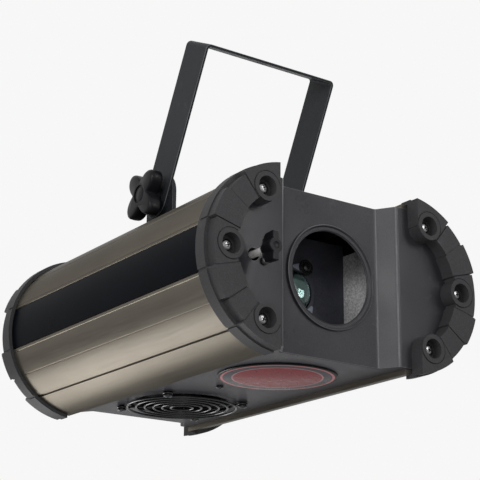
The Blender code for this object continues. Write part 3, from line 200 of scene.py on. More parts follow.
def carved(bm, cuts=(), adds=(), within=()):
    # pieces welded on, then only what lies within a body kept, then holes cut
    helpers = []

    def helperOf(shape):
        helper = bpy.data.objects.new("helper", bpy.data.meshes.new("helper"))
        tidy(shape).to_mesh(helper.data)
        shape.free()
        scene.collection.objects.link(helper)
        helpers.append(helper)
        return helper

    base = helperOf(bm)
    for operation, bodies in (("UNION", adds), ("INTERSECT", within), ("DIFFERENCE", cuts)):
        for body in bodies:
            step = base.modifiers.new(operation, "BOOLEAN")
            step.operation = operation
            step.object = helperOf(body)
            step.solver = "EXACT"
    made = base.evaluated_get(bpy.context.evaluated_depsgraph_get())
    result = bmesh.new()
    result.from_mesh(made.to_mesh())
    made.to_mesh_clear()
    for helper in helpers:
        mesh = helper.data
        bpy.data.objects.remove(helper)
        bpy.data.meshes.remove(mesh)
    return tidy(result)


def fromCad(node):
    # the solid's own shape with its flat faces made whole, ready for softer edges
    bm = bmesh.new()
    bm.from_mesh(nodes[node].data)
    moved(bm, intoFrame.inverted())
    bmesh.ops.remove_doubles(bm, verts=bm.verts, dist=4 * weld)
    bmesh.ops.dissolve_limit(bm, angle_limit=math.radians(0.5), verts=bm.verts, edges=bm.edges)
    return bm


# materials

def startMaterial(name):
    material = bpy.data.materials.new(name)
    material.use_nodes = True
    tree = material.node_tree
    return material, tree, tree.nodes["Principled BSDF"]


def added(tree, kind, inputs):
    # a node whose inputs each take a link or a value
    node = tree.nodes.new("ShaderNode" + kind)
    for name, value in inputs.items():
        if isinstance(value, bpy.types.NodeSocket):
            tree.links.new(value, node.inputs[name])
        else:
            node.inputs[name].default_value = value
    return node


def objectPlace(tree, stretch=(1, 1, 1), shift=(0, 0, 0)):
    spot = tree.nodes.new("ShaderNodeTexCoord").outputs["Object"]
    return added(tree, "Mapping", {"Scale": stretch, "Location": shift, "Vector": spot}).outputs["Vector"]


def noiseOf(tree, spot, scale, detail=3, rough=0.55):
    sizes = {"Scale": scale, "Detail": detail, "Roughness": rough, "Vector": spot}
    return added(tree, "TexNoise", sizes).outputs["Fac"]


def rampOf(tree, value, stops):
    ramp = tree.nodes.new("ShaderNodeValToRGB")
    tree.links.new(value, ramp.inputs["Fac"])
    bands = ramp.color_ramp.elements
    while len(bands) < len(stops):
        bands.new(0.5)
    for stop, (where, colour) in zip(bands, stops):
        stop.position = where
        stop.color = (*colour, 1) if isinstance(colour, tuple) else (colour, colour, colour, 1)
    return ramp.outputs["Color"]


def mixOf(tree, amount, first, second, blend="MIX"):
    mix = added(tree, "Mix", {0: amount, 6: first, 7: second})
    mix.data_type = "RGBA"
    mix.blend_type = blend
    return mix.outputs[2]


def spanOf(tree, value, low, high, fromLow=0.3, fromHigh=0.7):
    ends = {"From Min": fromLow, "From Max": fromHigh, "To Min": low, "To Max": high, "Value": value}
    return added(tree, "MapRange", ends).outputs["Result"]


def mathOf(tree, operation, first, second):
    sums = added(tree, "Math", {0: first, 1: second})
    sums.operation = operation
    return sums.outputs[0]


def bumpOf(tree, height, strength, distance):
    bump = added(tree, "Bump", {"Strength": strength, "Distance": distance, "Height": height})
    return bump.outputs["Normal"]


def scuffsOf(tree):
    # scattered short rubs, mostly none
    spot = objectPlace(tree, (1, 2.6, 1.3), (0.3, 0.1, 0.7))
    return spanOf(tree, noiseOf(tree, spot, 34, 6, 0.72), 0, 1, 0.61, 0.7)


def coatedFinish(name, look):
    # paint or moulded plastic: two tones in soft clouds, fine grain, and paler rubs
    material, tree, shader = startMaterial(name)
    spot = objectPlace(tree)
    clouds = noiseOf(tree, spot, look["cloudSize"], 4)
    grain = noiseOf(tree, spot, look["grainSize"], 2, 0.6)
    tone = rampOf(tree, clouds, ((0.35, look["dark"]), (0.65, look["light"])))
    speck = rampOf(tree, grain, ((0.38, 1 - look["speck"]), (0.62, 1)))
    tone = mixOf(tree, 1.0, tone, speck, "MULTIPLY")
    tone = mixOf(tree, mathOf(tree, "MULTIPLY", scuffsOf(tree), look["wear"]), tone, (*look["rub"], 1))
    tree.links.new(tone, shader.inputs["Base Color"])
    tree.links.new(spanOf(tree, clouds, *look["roughness"]), shader.inputs["Roughness"])
    shader.inputs["Specular IOR Level"].default_value = look["specular"]
    tree.links.new(bumpOf(tree, grain, look["bump"], look["bumpHeight"]), shader.inputs["Normal"])
    return material


def metalFinish(name, look):
    # drawn, brushed or plated metal: streaks along the stretched axis, and clouds
    material, tree, shader = startMaterial(name)
    streaks = noiseOf(tree, objectPlace(tree, look["stretch"]), look["streakSize"], 3, 0.6)
    clouds = noiseOf(tree, objectPlace(tree), look["cloudSize"], 3)
    tone = rampOf(tree, clouds, ((0.3, look["dark"]), (0.7, look["light"])))
    fine = rampOf(tree, streaks, ((0.3, 1 - look["streak"]), (0.7, 1)))
    tree.links.new(mixOf(tree, 1.0, tone, fine, "MULTIPLY"), shader.inputs["Base Color"])
    shader.inputs["Metallic"].default_value = look["metal"]
    shader.inputs["Specular Tint"].default_value = (look["grazing"],) * 3 + (1,)
    tree.links.new(spanOf(tree, streaks, *look["roughness"]), shader.inputs["Roughness"])
    tree.links.new(bumpOf(tree, streaks, look["bump"], look["bumpHeight"]), shader.inputs["Normal"])
    return material


def glassFinish(name, look):
    material, tree, shader = startMaterial(name)
    dust = noiseOf(tree, objectPlace(tree), 120, 4)
    tree.links.new(spanOf(tree, dust, *look["roughness"]), shader.inputs["Roughness"])
    dusty = tuple(c * 0.96 for c in look["colour"])
    tree.links.new(rampOf(tree, dust, ((0.3, look["colour"]), (0.7, dusty))), shader.inputs["Base Color"])
    shader.inputs["Transmission Weight"].default_value = 1.0
    shader.inputs["IOR"].default_value = look["ior"]
    tree.links.new(bumpOf(tree, dust, 0.02, 0.0001), shader.inputs["Normal"])
    return material


def badgeFinish(name, look):
    # plain printed rings round the middle of the disc
    material, tree, shader = startMaterial(name)
    flat = objectPlace(tree, (1, 1, 0), (0, -(frontY + look["depth"] * mm), 0))
    reach = tree.nodes.new("ShaderNodeVectorMath")
    reach.operation = "LENGTH"
    tree.links.new(flat, reach.inputs[0])
    share = mathOf(tree, "DIVIDE", reach.outputs["Value"], look["radius"] * mm)
    rings = rampOf(tree, share, look["rings"])
    scuffs = noiseOf(tree, objectPlace(tree), 130, 5, 0.65)
    worn = rampOf(tree, scuffs, ((0.35, 0.86), (0.6, 1)))
    tree.links.new(mixOf(tree, 1.0, rings, worn, "MULTIPLY"), shader.inputs["Base Color"])
    tree.links.new(spanOf(tree, scuffs, *look["roughness"]), shader.inputs["Roughness"])
    shader.inputs["Specular IOR Level"].default_value = look["specular"]
    tree.links.new(bumpOf(tree, scuffs, 0.05, 0.0001), shader.inputs["Normal"])
    return material


# paints and plastics; what a finish doesn't say comes from plainCoat, and rub is the tone of worn spots
plainCoat = {"cloudSize": 60, "grainSize": 1300, "speck": 0.3, "wear": 0.3, "specular": 0.5, "bump": 0.3,
             "bumpHeight": 0.0002}
coats = {
    "bandFilm": {
        "slot": "band_black", "dark": (0.0018, 0.0024, 0.0040), "light": (0.0030, 0.0038, 0.0060),
        "cloudSize": 14, "grainSize": 1500, "speck": 0.1, "rub": (0.03, 0.03, 0.035), "wear": 0.15,
        "roughness": (0.26, 0.36), "specular": 0.02, "bump": 0.03, "bumpHeight": 0.0001},
    "capPlastic": {
        "slot": "cap_plastic", "dark": (0.041, 0.0405, 0.043), "light": (0.051, 0.0505, 0.053),
        "cloudSize": 22, "rub": (0.10, 0.10, 0.105), "wear": 0.35, "roughness": (0.5, 0.62),
        "specular": 0.15},
    # paler edge tones: a painted highlight along the caps' bevels, with scattered rubs
    "rubbedCapEdge": {
        "dark": (0.15, 0.15, 0.156), "light": (0.23, 0.23, 0.236), "speck": 0.25, "rub": (0.3, 0.3, 0.3),
        "wear": 0.5, "roughness": (0.35, 0.5), "specular": 0.4, "bump": 0.15, "bumpHeight": 0.0001},
    "panelPaint": {
        "slot": "panel_paint", "dark": (0.027, 0.026, 0.031), "light": (0.035, 0.034, 0.040),
        "cloudSize": 16, "grainSize": 1400, "speck": 0.35, "rub": (0.07, 0.07, 0.075),
        "roughness": (0.27, 0.36), "specular": 0.25, "bump": 0.35},
    # paler edge tones: a painted highlight along the panels' bevels, folds and the trim ring's crest, with
    # scattered rubs
    "rubbedPanelEdge": {
        "dark": (0.085, 0.085, 0.092), "light": (0.125, 0.125, 0.132), "grainSize": 1400, "speck": 0.25,
        "rub": (0.2, 0.2, 0.2), "wear": 0.5, "roughness": (0.3, 0.42), "bump": 0.15, "bumpHeight": 0.0001},
    "yokePaint": {
        "slot": "yoke_paint", "dark": (0.012, 0.0145, 0.018), "light": (0.019, 0.022, 0.026),
        "cloudSize": 20, "grainSize": 1000, "speck": 0.45, "rub": (0.07, 0.075, 0.08), "wear": 0.4,
        "roughness": (0.45, 0.58), "specular": 0.2, "bump": 0.6, "bumpHeight": 0.0003},
    # paler edge tones: a painted highlight along the yoke's bevels, with scattered rubs
    "rubbedYokeEdge": {
        "dark": (0.06, 0.065, 0.07), "light": (0.10, 0.105, 0.11), "cloudSize": 50, "grainSize": 1000,
        "speck": 0.35, "rub": (0.2, 0.2, 0.2), "wear": 0.5, "roughness": (0.35, 0.5), "specular": 0.4},
    "blackPlastic": {
        "slot": "black_plastic", "dark": (0.005, 0.005, 0.0065), "light": (0.009, 0.009, 0.011),
        "cloudSize": 40, "grainSize": 1800, "speck": 0.2, "rub": (0.035, 0.035, 0.04), "wear": 0.4,
        "roughness": (0.28, 0.42), "specular": 0.14, "bump": 0.2, "bumpHeight": 0.0001},
    # the lens box carries the panel's dark paint, coloured far paler here: painted light on its lit inner
    # walls
    "lightBoxPaint": {
        "slot": "panel_paint", "dark": (0.56, 0.555, 0.565), "light": (0.76, 0.755, 0.765), "cloudSize": 30,
        "grainSize": 620, "speck": 0.45, "rub": (0.75, 0.75, 0.75), "wear": 0.2, "roughness": (0.5, 0.65),
        "specular": 0.4, "bump": 0.6, "bumpHeight": 0.0003},
    "carrierBlack": {
        "slot": "galvanised_sheet", "dark": (0.038, 0.039, 0.050), "light": (0.060, 0.062, 0.078),
        "cloudSize": 30, "grainSize": 1200, "rub": (0.08, 0.08, 0.09), "roughness": (0.4, 0.55),
        "specular": 0.3},
    "whiteCeramic": {
        "slot": "white_ceramic", "dark": (0.70, 0.68, 0.62), "light": (0.80, 0.78, 0.72), "grainSize": 900,
        "speck": 0.08, "rub": (0.85, 0.83, 0.78), "wear": 0.2, "roughness": (0.45, 0.6), "bump": 0.2},
    "boardGreen": {
        "slot": "board_green", "dark": (0.012, 0.09, 0.035), "light": (0.02, 0.14, 0.05), "cloudSize": 90,
        "grainSize": 600, "rub": (0.25, 0.2, 0.08), "roughness": (0.3, 0.45), "bumpHeight": 0.0003},
    "rockerRed": {
        "slot": "rocker_red", "dark": (0.30, 0.012, 0.012), "light": (0.38, 0.02, 0.018), "cloudSize": 80,
        "grainSize": 900, "speck": 0.06, "rub": (0.5, 0.1, 0.08), "roughness": (0.2, 0.3), "bump": 0.05,
        "bumpHeight": 0.0001}}

# bare metals; grazing dims what a metal mirrors along its rims
plainMetal = {"slot": "zinc_steel", "stretch": (1, 1, 1), "streakSize": 500, "streak": 0.2, "cloudSize": 60,
              "bump": 0.1, "bumpHeight": 0.0001, "grazing": 0.9}
metals = {
    "champagneAluminium": {
        "slot": "champagne_aluminium", "dark": (0.152, 0.137, 0.114), "light": (0.178, 0.161, 0.134),
        "stretch": (1, 0.02, 1), "streakSize": 900, "streak": 0.12, "cloudSize": 9,
        "roughness": (0.30, 0.40), "metal": 0.75, "bump": 0.08, "grazing": 0.2},
    "brightZinc": {
        "dark": (0.62, 0.62, 0.63), "light": (0.82, 0.82, 0.82), "streakSize": 700, "streak": 0.15,
        "cloudSize": 120, "roughness": (0.2, 0.32), "metal": 1.0},
    "rodSteel": {
        "dark": (0.66, 0.65, 0.62), "light": (0.86, 0.85, 0.82), "streakSize": 600, "cloudSize": 140,
        "roughness": (0.3, 0.45), "metal": 0.35, "bump": 0.15},
    "darkZinc": {
        "dark": (0.16, 0.16, 0.165), "light": (0.30, 0.30, 0.30), "streakSize": 700, "cloudSize": 160,
        "roughness": (0.14, 0.26), "metal": 1.0},
    "clipSteel": {
        "dark": (0.20, 0.22, 0.27), "light": (0.30, 0.32, 0.38), "cloudSize": 100, "roughness": (0.35, 0.5),
        "metal": 0.4},
    "galvanisedSheet": {
        "slot": "galvanised_sheet", "dark": (0.36, 0.37, 0.38), "light": (0.56, 0.57, 0.58),
        "streakSize": 160, "roughness": (0.32, 0.5), "metal": 0.95, "bump": 0.06, "bumpHeight": 0.0002},
    "blackWire": {
        "dark": (0.007, 0.007, 0.008), "light": (0.012, 0.012, 0.013), "streakSize": 400,
        "roughness": (0.14, 0.26), "metal": 0.0, "bump": 0.05},
    "blackScrew": {
        "dark": (0.02, 0.02, 0.022), "light": (0.045, 0.045, 0.048), "cloudSize": 90,
        "roughness": (0.18, 0.32), "metal": 0.6},
    "transformerIron": {
        "slot": "transformer_iron", "dark": (0.10, 0.10, 0.11), "light": (0.17, 0.17, 0.18),
        "stretch": (1, 40, 1), "streakSize": 60, "streak": 0.4, "cloudSize": 25, "roughness": (0.4, 0.6),
        "metal": 0.6, "bump": 0.3, "bumpHeight": 0.0003},
    "coilCopper": {
        "slot": "coil_copper", "dark": (0.36, 0.15, 0.07), "light": (0.52, 0.25, 0.12),
        "stretch": (1, 1, 60), "streakSize": 40, "streak": 0.4, "cloudSize": 30, "roughness": (0.25, 0.45),
        "metal": 0.8, "bump": 0.5, "bumpHeight": 0.0004},
    "mirrorSilver": {
        "slot": "mirror_silver", "dark": (0.78, 0.78, 0.79), "light": (0.88, 0.88, 0.88), "streakSize": 90,
        "streak": 0.04, "cloudSize": 40, "roughness": (0.06, 0.14), "metal": 1.0, "bump": 0.05,
        "bumpHeight": 0.0002}}

plainGlass = {"slot": "clear_glass", "ior": 1.52}
glasses = {
    "lensGlass": {"colour": (0.62, 0.93, 0.88), "roughness": (0.0, 0.03), "ior": 1.85},
    "clearGlass": {"colour": (0.93, 0.96, 0.95), "roughness": (0.02, 0.08)},
    "rippleGlass": {"colour": (0.88, 0.94, 0.92), "roughness": (0.05, 0.2)}}

# ring edges as shares of the badge's radius, with the colour from there on
badge = {"depth": 104.5, "radius": 52, "thick": 1.2, "top": -71.3, "roughness": (0.24, 0.4), "specular": 0.15,
         "rings": ((0.0, (0.21, 0.028, 0.033)), (0.74, (0.21, 0.028, 0.033)), (0.745, (0.40, 0.20, 0.21)),
                   (0.765, (0.40, 0.20, 0.21)), (0.77, (0.065, 0.06, 0.065)), (0.91, (0.065, 0.06, 0.065)),
                   (0.915, (0.48, 0.17, 0.18)), (0.95, (0.48, 0.17, 0.18)), (0.955, (0.008, 0.008, 0.009)))}

finishes = {"badgePrint": badgeFinish("badgePrint", badge)}
slotNames = {"badgePrint": "badge_print"}
for make, plain, looks in ((coatedFinish, plainCoat, coats), (metalFinish, plainMetal, metals),
                           (glassFinish, plainGlass, glasses)):
    for name, own in looks.items():
        look = {**plain, **own}
        finishes[name] = make(name, look)
        slotNames[name] = look.get("slot")
print("materials made")


def place(name, bm, body, finish, stands=(), edge=0.0, rounds=2, sharp=35, rubbed=None, slotName=None):
    slotName = slotName or slotNames[finish]
    moved(tidy(bm), intoFrame)
    mesh = bpy.data.meshes.new(name)
    bm.to_mesh(mesh)
    bm.free()
    mesh.shade_smooth()
    mesh.materials.append(finishes[finish])
    if rubbed:
        mesh.materials.append(finishes[rubbed])      # bevelled edges take the second finish: paler, a painted highlight along them, with scattered rubs
    piece = bpy.data.objects.new(name, mesh)
    scene.collection.objects.link(piece)
    if edge:
        rim = piece.modifiers.new("edges", "BEVEL")
        rim.width = edge * mm
        rim.segments = rounds
        rim.limit_method = "ANGLE"
        rim.angle_limit = math.radians(sharp)
        rim.harden_normals = True
        rim.material = 1 if rubbed else -1
    else:
        mesh.set_sharp_from_angle(angle=math.radians(sharp))
    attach(piece, body)
    if stands:
        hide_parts(*stands)


def placePair(ending, shape, nodeEnding, bodies, finish, **more):
    # a right-hand shape and its mirror image on the left
    place("left" + ending, copied(shape, toLeft), bodies[0], finish, ["left_" + nodeEnding], **more)
    place("right" + ending, shape, bodies[1], finish, ["right_" + nodeEnding], **more)


onHousing = ("housing", "housing")

# every profile, band and cap is drawn about the side arc's axis
arcX = 61


def polarOf(vert):
    across, rise = vert.co.x - arcX, vert.co.z
    return math.degrees(math.atan2(rise, across)), math.hypot(across, rise)


def onArc(angle, radius):
    t = math.radians(angle)
    return arcX + radius * math.cos(t), radius * math.sin(t)


def swept(points, reach, steps, closed=False):
    # points of (radius, depth), turned about the side arc's axis from below to above
    bm = bmesh.new()
    verts = []
    for radius, depth in points:
        x, height = onArc(-reach, radius)
        verts.append(bm.verts.new((x, depth, height)))
    pairs = ([(verts[-1], verts[0])] if closed else []) + list(zip(verts, verts[1:]))
    edges = [bm.edges.new(pair) for pair in pairs]
    bmesh.ops.spin(bm, geom=verts + edges, cent=(arcX, 0, 0), axis=(0, -1, 0), dvec=(0, 0, 0),
                   angle=math.radians(2 * reach), steps=steps)
    return bm


# side profiles: extruded half rounds with a recess for the band, screw ports and an inner shelf
# angles are in degrees above the axis; each groove is its angle, half its width and its depth
profile = {"radius": 76, "wall": 3.5, "reach": 84, "bandAngle": 15.2, "bandRecess": 1.8, "shelf": 69.2,
           "shelfThick": 3, "shelfX": 61.8, "ports": (-65, 0, 65), "portWalls": (1.9, 3.6), "portReach": 17.5,
           "start": 15.4, "grooves": ((-54.5, 0.9, 1.7), (54.5, 0.9, 1.7), (-35, 0.3, 0.35), (41, 1.1, 1.0),
                                      (17.5, 0.4, 0.6), (-17.5, 0.3, 0.4))}


def sideProfile():
    p = profile
    inner, under = p["radius"] - p["wall"], p["shelf"] - p["shelfThick"]
    lipX = onArc(p["reach"], p["radius"])[0]
    bm = swept([(p["radius"], 0), (inner, 0)], p["reach"], 4 * p["reach"])
    for vert in bm.verts:
        angle, radius = polarOf(vert)
        if radius > p["radius"] - 0.5:
            depth = p["bandRecess"] if abs(angle) < p["bandAngle"] else 0
            for middle, half, groove in p["grooves"]:
                depth = max(depth, groove if abs(angle - middle) < half else 0)
            vert.co.x, vert.co.z = onArc(angle, p["radius"] - depth)
        elif abs(vert.co.z) > under:
            vert.co.z = math.copysign(under, vert.co.z)
            if abs(angle) > p["reach"] - 0.1:
                vert.co.x = lipX
    inside = [e for e in bm.edges
              if all(polarOf(v)[1] < inner + 0.1 and abs(v.co.z) < under for v in e.verts)]
    near, far = p["portWalls"]
    for port in p["ports"]:
        a = math.radians(port)
        inwards = Vector((-math.cos(a), 0, -math.sin(a))) * p["portReach"]
        for side in sides:
            wall = [e for e in inside if all(near < side * (polarOf(v)[0] - port) < far for v in e.verts)]
            if wall:
                out = bmesh.ops.extrude_edge_only(bm, edges=wall)
                bmesh.ops.translate(bm, verts=vertsOf(out["geom"]), vec=inwards)
    for side in sides:
        lip = [e for e in bm.edges if all(abs(v.co.x - lipX) < 0.01 and v.co.z * side > 0 for v in e.verts)]
        middle = vertsOf(bmesh.ops.subdivide_edges(bm, edges=lip, cuts=1)["geom_inner"])[0]
        middle.co.z = side * p["shelf"]
        others = [(e, e.other_vert(middle).co) for e in middle.link_edges]
        low = [e for e, far in others if abs(far.z) < p["shelf"] and abs(far.x - middle.co.x) < 0.01]
        for vert in vertsOf(bmesh.ops.extrude_edge_only(bm, edges=low)["geom"]):
            vert.co.x = p["shelfX"]
    pushed(bm, (0, bodyLength - 2 * p["start"], 0))
    return moved(bm, shifted(0, p["start"], 0))


placePair("Profile", sideProfile(), "side_profile", onHousing, "champagneAluminium", sharp=22)

band = {"low": 74.5, "high": 75.6, "reach": 14.85, "start": 21.3}
bandShape = swept([(band["low"], band["start"]), (band["high"], band["start"])], band["reach"], 60)
pushed(bandShape, (0, bodyLength - 2 * band["start"], 0))
placePair("Band", bandShape, "side_band", onHousing, "bandFilm", edge=0.2)
print("side profiles done")


# end caps: half rings with two rim bands, creased blocks and three screw bosses
# each crease is an angle with its depth; blocks stand between the first two angles and past the third
cap = {"outer": 79.7, "depth": 21, "step": 9.2, "low": 76, "high": 78.6, "inner": 54.5, "cutX": 73.5,
       "reach": 86, "blocks": (15, 35, 52), "blockDepth": 1.6, "skirt": 76.3, "back": 13.3,
       "bossCircle": 60, "boss": 12.4, "bossStand": 0.3, "bore": 8.6, "boreDepth": 8.4, "hole": 2.6,
       "angles": (-65, 0, 65), "moat": 0.9, "moatDepth": 0.7,
       "creases": {15: 1.3, 36: 0.3, 52: 1.3, -15: 0.5, -36: 1.1, -52: 0.5}, "notches": (15, -15, 52, -52)}


def bossSpots():
    return [onArc(angle, cap["bossCircle"]) for angle in cap["angles"]]


def endCap():
    c = cap
    face = [(c["inner"], 0), (c["inner"] + 1.4, 0), (66, 0), (c["high"] - 1, 0), (c["high"], 0)]
    back = [(c["high"], c["step"]), (c["outer"], c["step"]), (c["outer"], c["depth"]),
            (c["skirt"], c["depth"]), (c["skirt"], c["back"]), (c["inner"], c["back"])]
    bm = swept(face + back, c["reach"], 8 * c["reach"], closed=True)
    low, high, upper = c["blocks"]
    for vert in bm.verts:
        angle, radius = polarOf(vert)
        block = low < abs(angle) < high
        ahead = vert.co.y < c["step"] + 0.1
        if c["high"] - 1.2 < radius < c["high"] + 0.1 and ahead and not block and abs(angle) <= upper:
            radius -= c["high"] - c["low"]
        if radius < c["inner"] + 0.1 and block:
            radius -= c["blockDepth"]
        for crease, deep in c["creases"].items():
            if abs(angle - crease) < 0.3 and vert.co.y < c["step"] - 0.1:
                if vert.co.y < 0.1:
                    vert.co.y += deep
                if radius > c["low"] - 1.5:
                    radius -= deep * 0.8
        if radius > c["outer"] - 0.1 and any(abs(angle - notch) < 0.7 for notch in c["notches"]):
            radius -= 1.0
        vert.co.x, vert.co.z = onArc(angle, radius)
    side = bmesh.ops.bisect_plane(bm, geom=bm.verts[:] + bm.edges[:] + bm.faces[:],
                                  plane_co=(c["cutX"], 0, 0), plane_no=(1, 0, 0), clear_inner=True)
    bmesh.ops.holes_fill(bm, edges=[e for e in side["geom_cut"] if isinstance(e, bmesh.types.BMEdge)])
    # the towers stand a little into their moats
    near, wide = c["boss"] - c["bossStand"], c["boss"] + c["moat"]
    section = [(near, -2), (wide, -2), (wide, c["moatDepth"]), (near, c["moatDepth"]), (near, -2)]
    towers, moats, bores, holes = [], [], [], []
    for x, z in bossSpots():
        towers.append(rodOf(c["boss"], -bossProud, c["back"] - 0.01, (x, 0, z), steps=72))
        moats.append(turned(section, (x, 0, z), steps=72))
        bores.append(rodOf(c["bore"], -5, c["boreDepth"], (x, 0, z), steps=64))
        holes.append(rodOf(c["hole"], -6, 30, (x, 0, z), steps=24))
    ring = carved(bm, cuts=[joined(*moats)])
    whole = carved(ring, adds=[joined(*towers)], cuts=[joined(*bores), joined(*holes)])
    bmesh.ops.holes_fill(whole, edges=[e for e in whole.edges if e.is_boundary], sides=4)
    return tidy(whole)


capShape = endCap()
for name, way, node in (("frontLeftCap", toLeft, "front_left_cap"),
                        ("rearRightCap", toRear, "rear_right_cap"),
                        ("rearLeftCap", toLeft @ toRear, "rear_left_cap"),
                        ("frontRightCap", None, "front_right_cap")):
    place(name, copied(capShape, way), "housing", "capPlastic", [node], edge=0.45, rubbed="rubbedCapEdge")
capShape.free()
print("end caps done")


# screws: pan heads with a cross recess, the head towards -Y and its underside at zero
def panScrew(head, rise, shank, length):
    dome = [(head * math.sin(a), -rise * (0.55 + 0.45 * math.cos(a))) for a in (0, 0.35, 0.7, 1.05, 1.35)]
    below = [(head, -rise * 0.5), (head, -0.15 * rise), (head - 0.25, 0), (shank, 0), (shank, length - shank),
             (shank * 0.5, length), (0, length)]
    arm, half, recess = head * 0.62, head * 0.17, (-2 * rise, -rise * 0.35)
    cross = [boxOf((-arm, arm), recess, (-half, half)), boxOf((-half, half), recess, (-arm, arm))]
    for bar in cross:
        for vert in bar.verts:
            if vert.co.y > -rise:
                vert.co.x *= 0.45
                vert.co.z *= 0.45
    return carved(turned(dome + below, steps=40), cuts=cross)


capScrew = {"head": 4.8, "rise": 3.4, "shank": 2, "length": 27, "seat": 8.1}
s = capScrew
screwShape = panScrew(s["head"], s["rise"], s["shank"], s["length"])
for label, side in zip(("left", "right"), sides):
    for rung, (x, z) in zip(("lower", "middle", "upper"), bossSpots()):
        ahead = shifted(side * x, s["seat"], z) @ spun(20 + 31 * (x + z), "Y")
        place(f"{label}{rung.title()}Screw", copied(screwShape, ahead), "housing", "darkZinc",
              [f"{label}_{rung}_cap_screw"], sharp=30)
        place(f"{label}{rung.title()}RearScrew", copied(screwShape, toRear @ ahead), "housing", "darkZinc",
              sharp=30)
screwShape.free()
print("cap screws done")


# folded front and rear panels
panel = {"wing": 13.6, "recess": 29.7, "wingX": 60.4, "recessX": 50.6, "sheet": 1.5, "height": 71,
         "reach": 137, "outside": 2.6, "inside": 1.9, "opening": 40.3, "rodX": -90, "rodHole": 5.2,
         "endRadius": 75.98}


def foldShift(thickness):
    run, fall = panel["wingX"] - panel["recessX"], panel["recess"] - panel["wing"]
    return thickness * (math.hypot(run, fall) - run) / fall


def foldedPanel():
    p = panel
    shift, sheet = foldShift(p["sheet"]), p["sheet"]
    half = [(p["recessX"], p["recess"]), (p["wingX"], p["wing"]), (p["reach"], p["wing"]),
            (p["reach"], p["wing"] + sheet), (p["wingX"] + shift, p["wing"] + sheet),
            (p["recessX"] + shift, p["recess"] + sheet)]
    loop = half + [(-x, d) for x, d in reversed(half)]
    last = len(loop) - 1
    rounds = [(i, p["inside"], 6) for i in (0, 4, last, last - 4)]
    rounds += [(i, p["outside"], 6) for i in (1, 5, last - 1, last - 5)]
    folded = pushedOutline([(x, d, -p["height"]) for x, d in loop], (0, 0, 2 * p["height"]), rounds)
    ends = boxOf((-p["reach"], p["reach"]), (-1, 50), (-76, 76), p["endRadius"], "Y", 40)
    return carved(folded, within=[ends])


def rubbedFolds(bm):
    # the middle of each bend takes the paler edge finish, a painted highlight along the fold
    bm.normal_update()
    for face in bm.faces:
        lean = math.degrees(math.acos(min(1, abs(face.normal.y))))
        if abs(face.normal.z) < 0.1 and 20 < lean < 39:
            face.material_index = 1
    return bm


frontBlank = foldedPanel()
rearBlank = copied(frontBlank, toRear)
opening = rodOf(panel["opening"], 0, 60, steps=144)
rodHole = rodOf(panel["rodHole"], 0, 40, (panel["rodX"], 0, 0), steps=36)
frontPanel = rubbedFolds(carved(frontBlank, cuts=[opening, rodHole]))
place("frontPanel", frontPanel, "housing", "panelPaint", ["front_panel"], edge=0.35, sharp=40,
      rubbed="rubbedPanelEdge")

trim = {"inner": 40.3, "outer": 45.6, "seat": 29.4, "bead": 0.85, "lip": 0.5,
        "beadAngles": (0, 0.4, 0.8, 1.2, 1.57, 1.95, 2.35, 2.75), "lipAngles": (0.4, 1.0, 1.57, 2.2, 2.9)}


def trimRing():
    t = trim
    seat, outer, inner = t["seat"], t["outer"], t["inner"]
    bead = [(outer - t["bead"] + t["bead"] * math.cos(a), seat - 1.55 - t["bead"] * math.sin(a))
            for a in t["beadAngles"]]
    lip = [(inner + 0.55 + t["lip"] * math.cos(a), seat - 0.6 - t["lip"] * math.sin(a))
           for a in t["lipAngles"]]
    ring = turned([(outer, seat)] + bead + [(outer - 2.1, seat - 0.9)] + lip
                  + [(inner, seat - 0.3), (inner, seat), (outer, seat)], steps=160)
    ring.normal_update()
    for face in ring.faces:      # the bead's outer crest takes the paler edge finish, a painted highlight ring
        middle = face.calc_center_median()
        if math.hypot(middle.x, middle.z) > outer - 0.75 and 0.35 < -face.normal.y < 0.9:
            face.material_index = 1
    return ring


place("trimRing", trimRing(), "housing", "panelPaint", ["lens_trim_ring"], sharp=50, rubbed="rubbedPanelEdge")

# rear panel with its windows and vents
rear = {"inlet": (20, -32), "inletBody": (27, 19.5), "switch": (-37, -32), "switchBody": (13, 19), "gap": 0.6,
        "fuse": (-16, -32), "fuseHole": 6.5, "sockets": 22, "socketHeight": 8, "socketHole": 11.8, "vents": 4,
        "pitch": 9, "ventX": 91, "ventWidth": 3, "ventHeight": 26}


def rearPanel():
    r = rear
    through = (bodyLength - 60, bodyLength)

    def window(x, z, width, height, radius=0.6):
        span, rise = (x - width / 2, x + width / 2), (z - height / 2, z + height / 2)
        return boxOf(span, through, rise, radius, "Y", 3)

    windows = [window(*r[part], r[part + "Body"][0] + r["gap"], r[part + "Body"][1] + r["gap"])
               for part in ("inlet", "switch")]
    windows.append(rodOf(r["fuseHole"], *through, (r["fuse"][0], 0, r["fuse"][1]), steps=40))
    windows += [rodOf(r["socketHole"], *through, (side * r["sockets"], 0, r["socketHeight"]), steps=56)
                for side in sides]
    first = (r["vents"] - 1) / 2
    windows += [window(side * r["ventX"] + (i - first) * r["pitch"], 0, r["ventWidth"], r["ventHeight"], 1.45)
                for side in sides for i in range(r["vents"])]
    return rubbedFolds(carved(rearBlank, cuts=[joined(*windows)]))


place("rearPanel", rearPanel(), "housing", "panelPaint", ["rear_panel"], edge=0.3, sharp=40,
      rubbed="rubbedPanelEdge")
print("panels done")


# fan and its wire guard, top and bottom plates, badge
fan = {"depth": 257.3, "size": 92, "low": -69.2, "height": 25, "bore": 43, "hub": 19, "blade": 41,
       "blades": 7, "screw": 41.25}
plate = {"edgeX": onArc(profile["reach"], profile["radius"])[0] - 0.3, "height": 71, "sheet": 1.5,
         "clear": 1.8, "fanHole": 49.5}


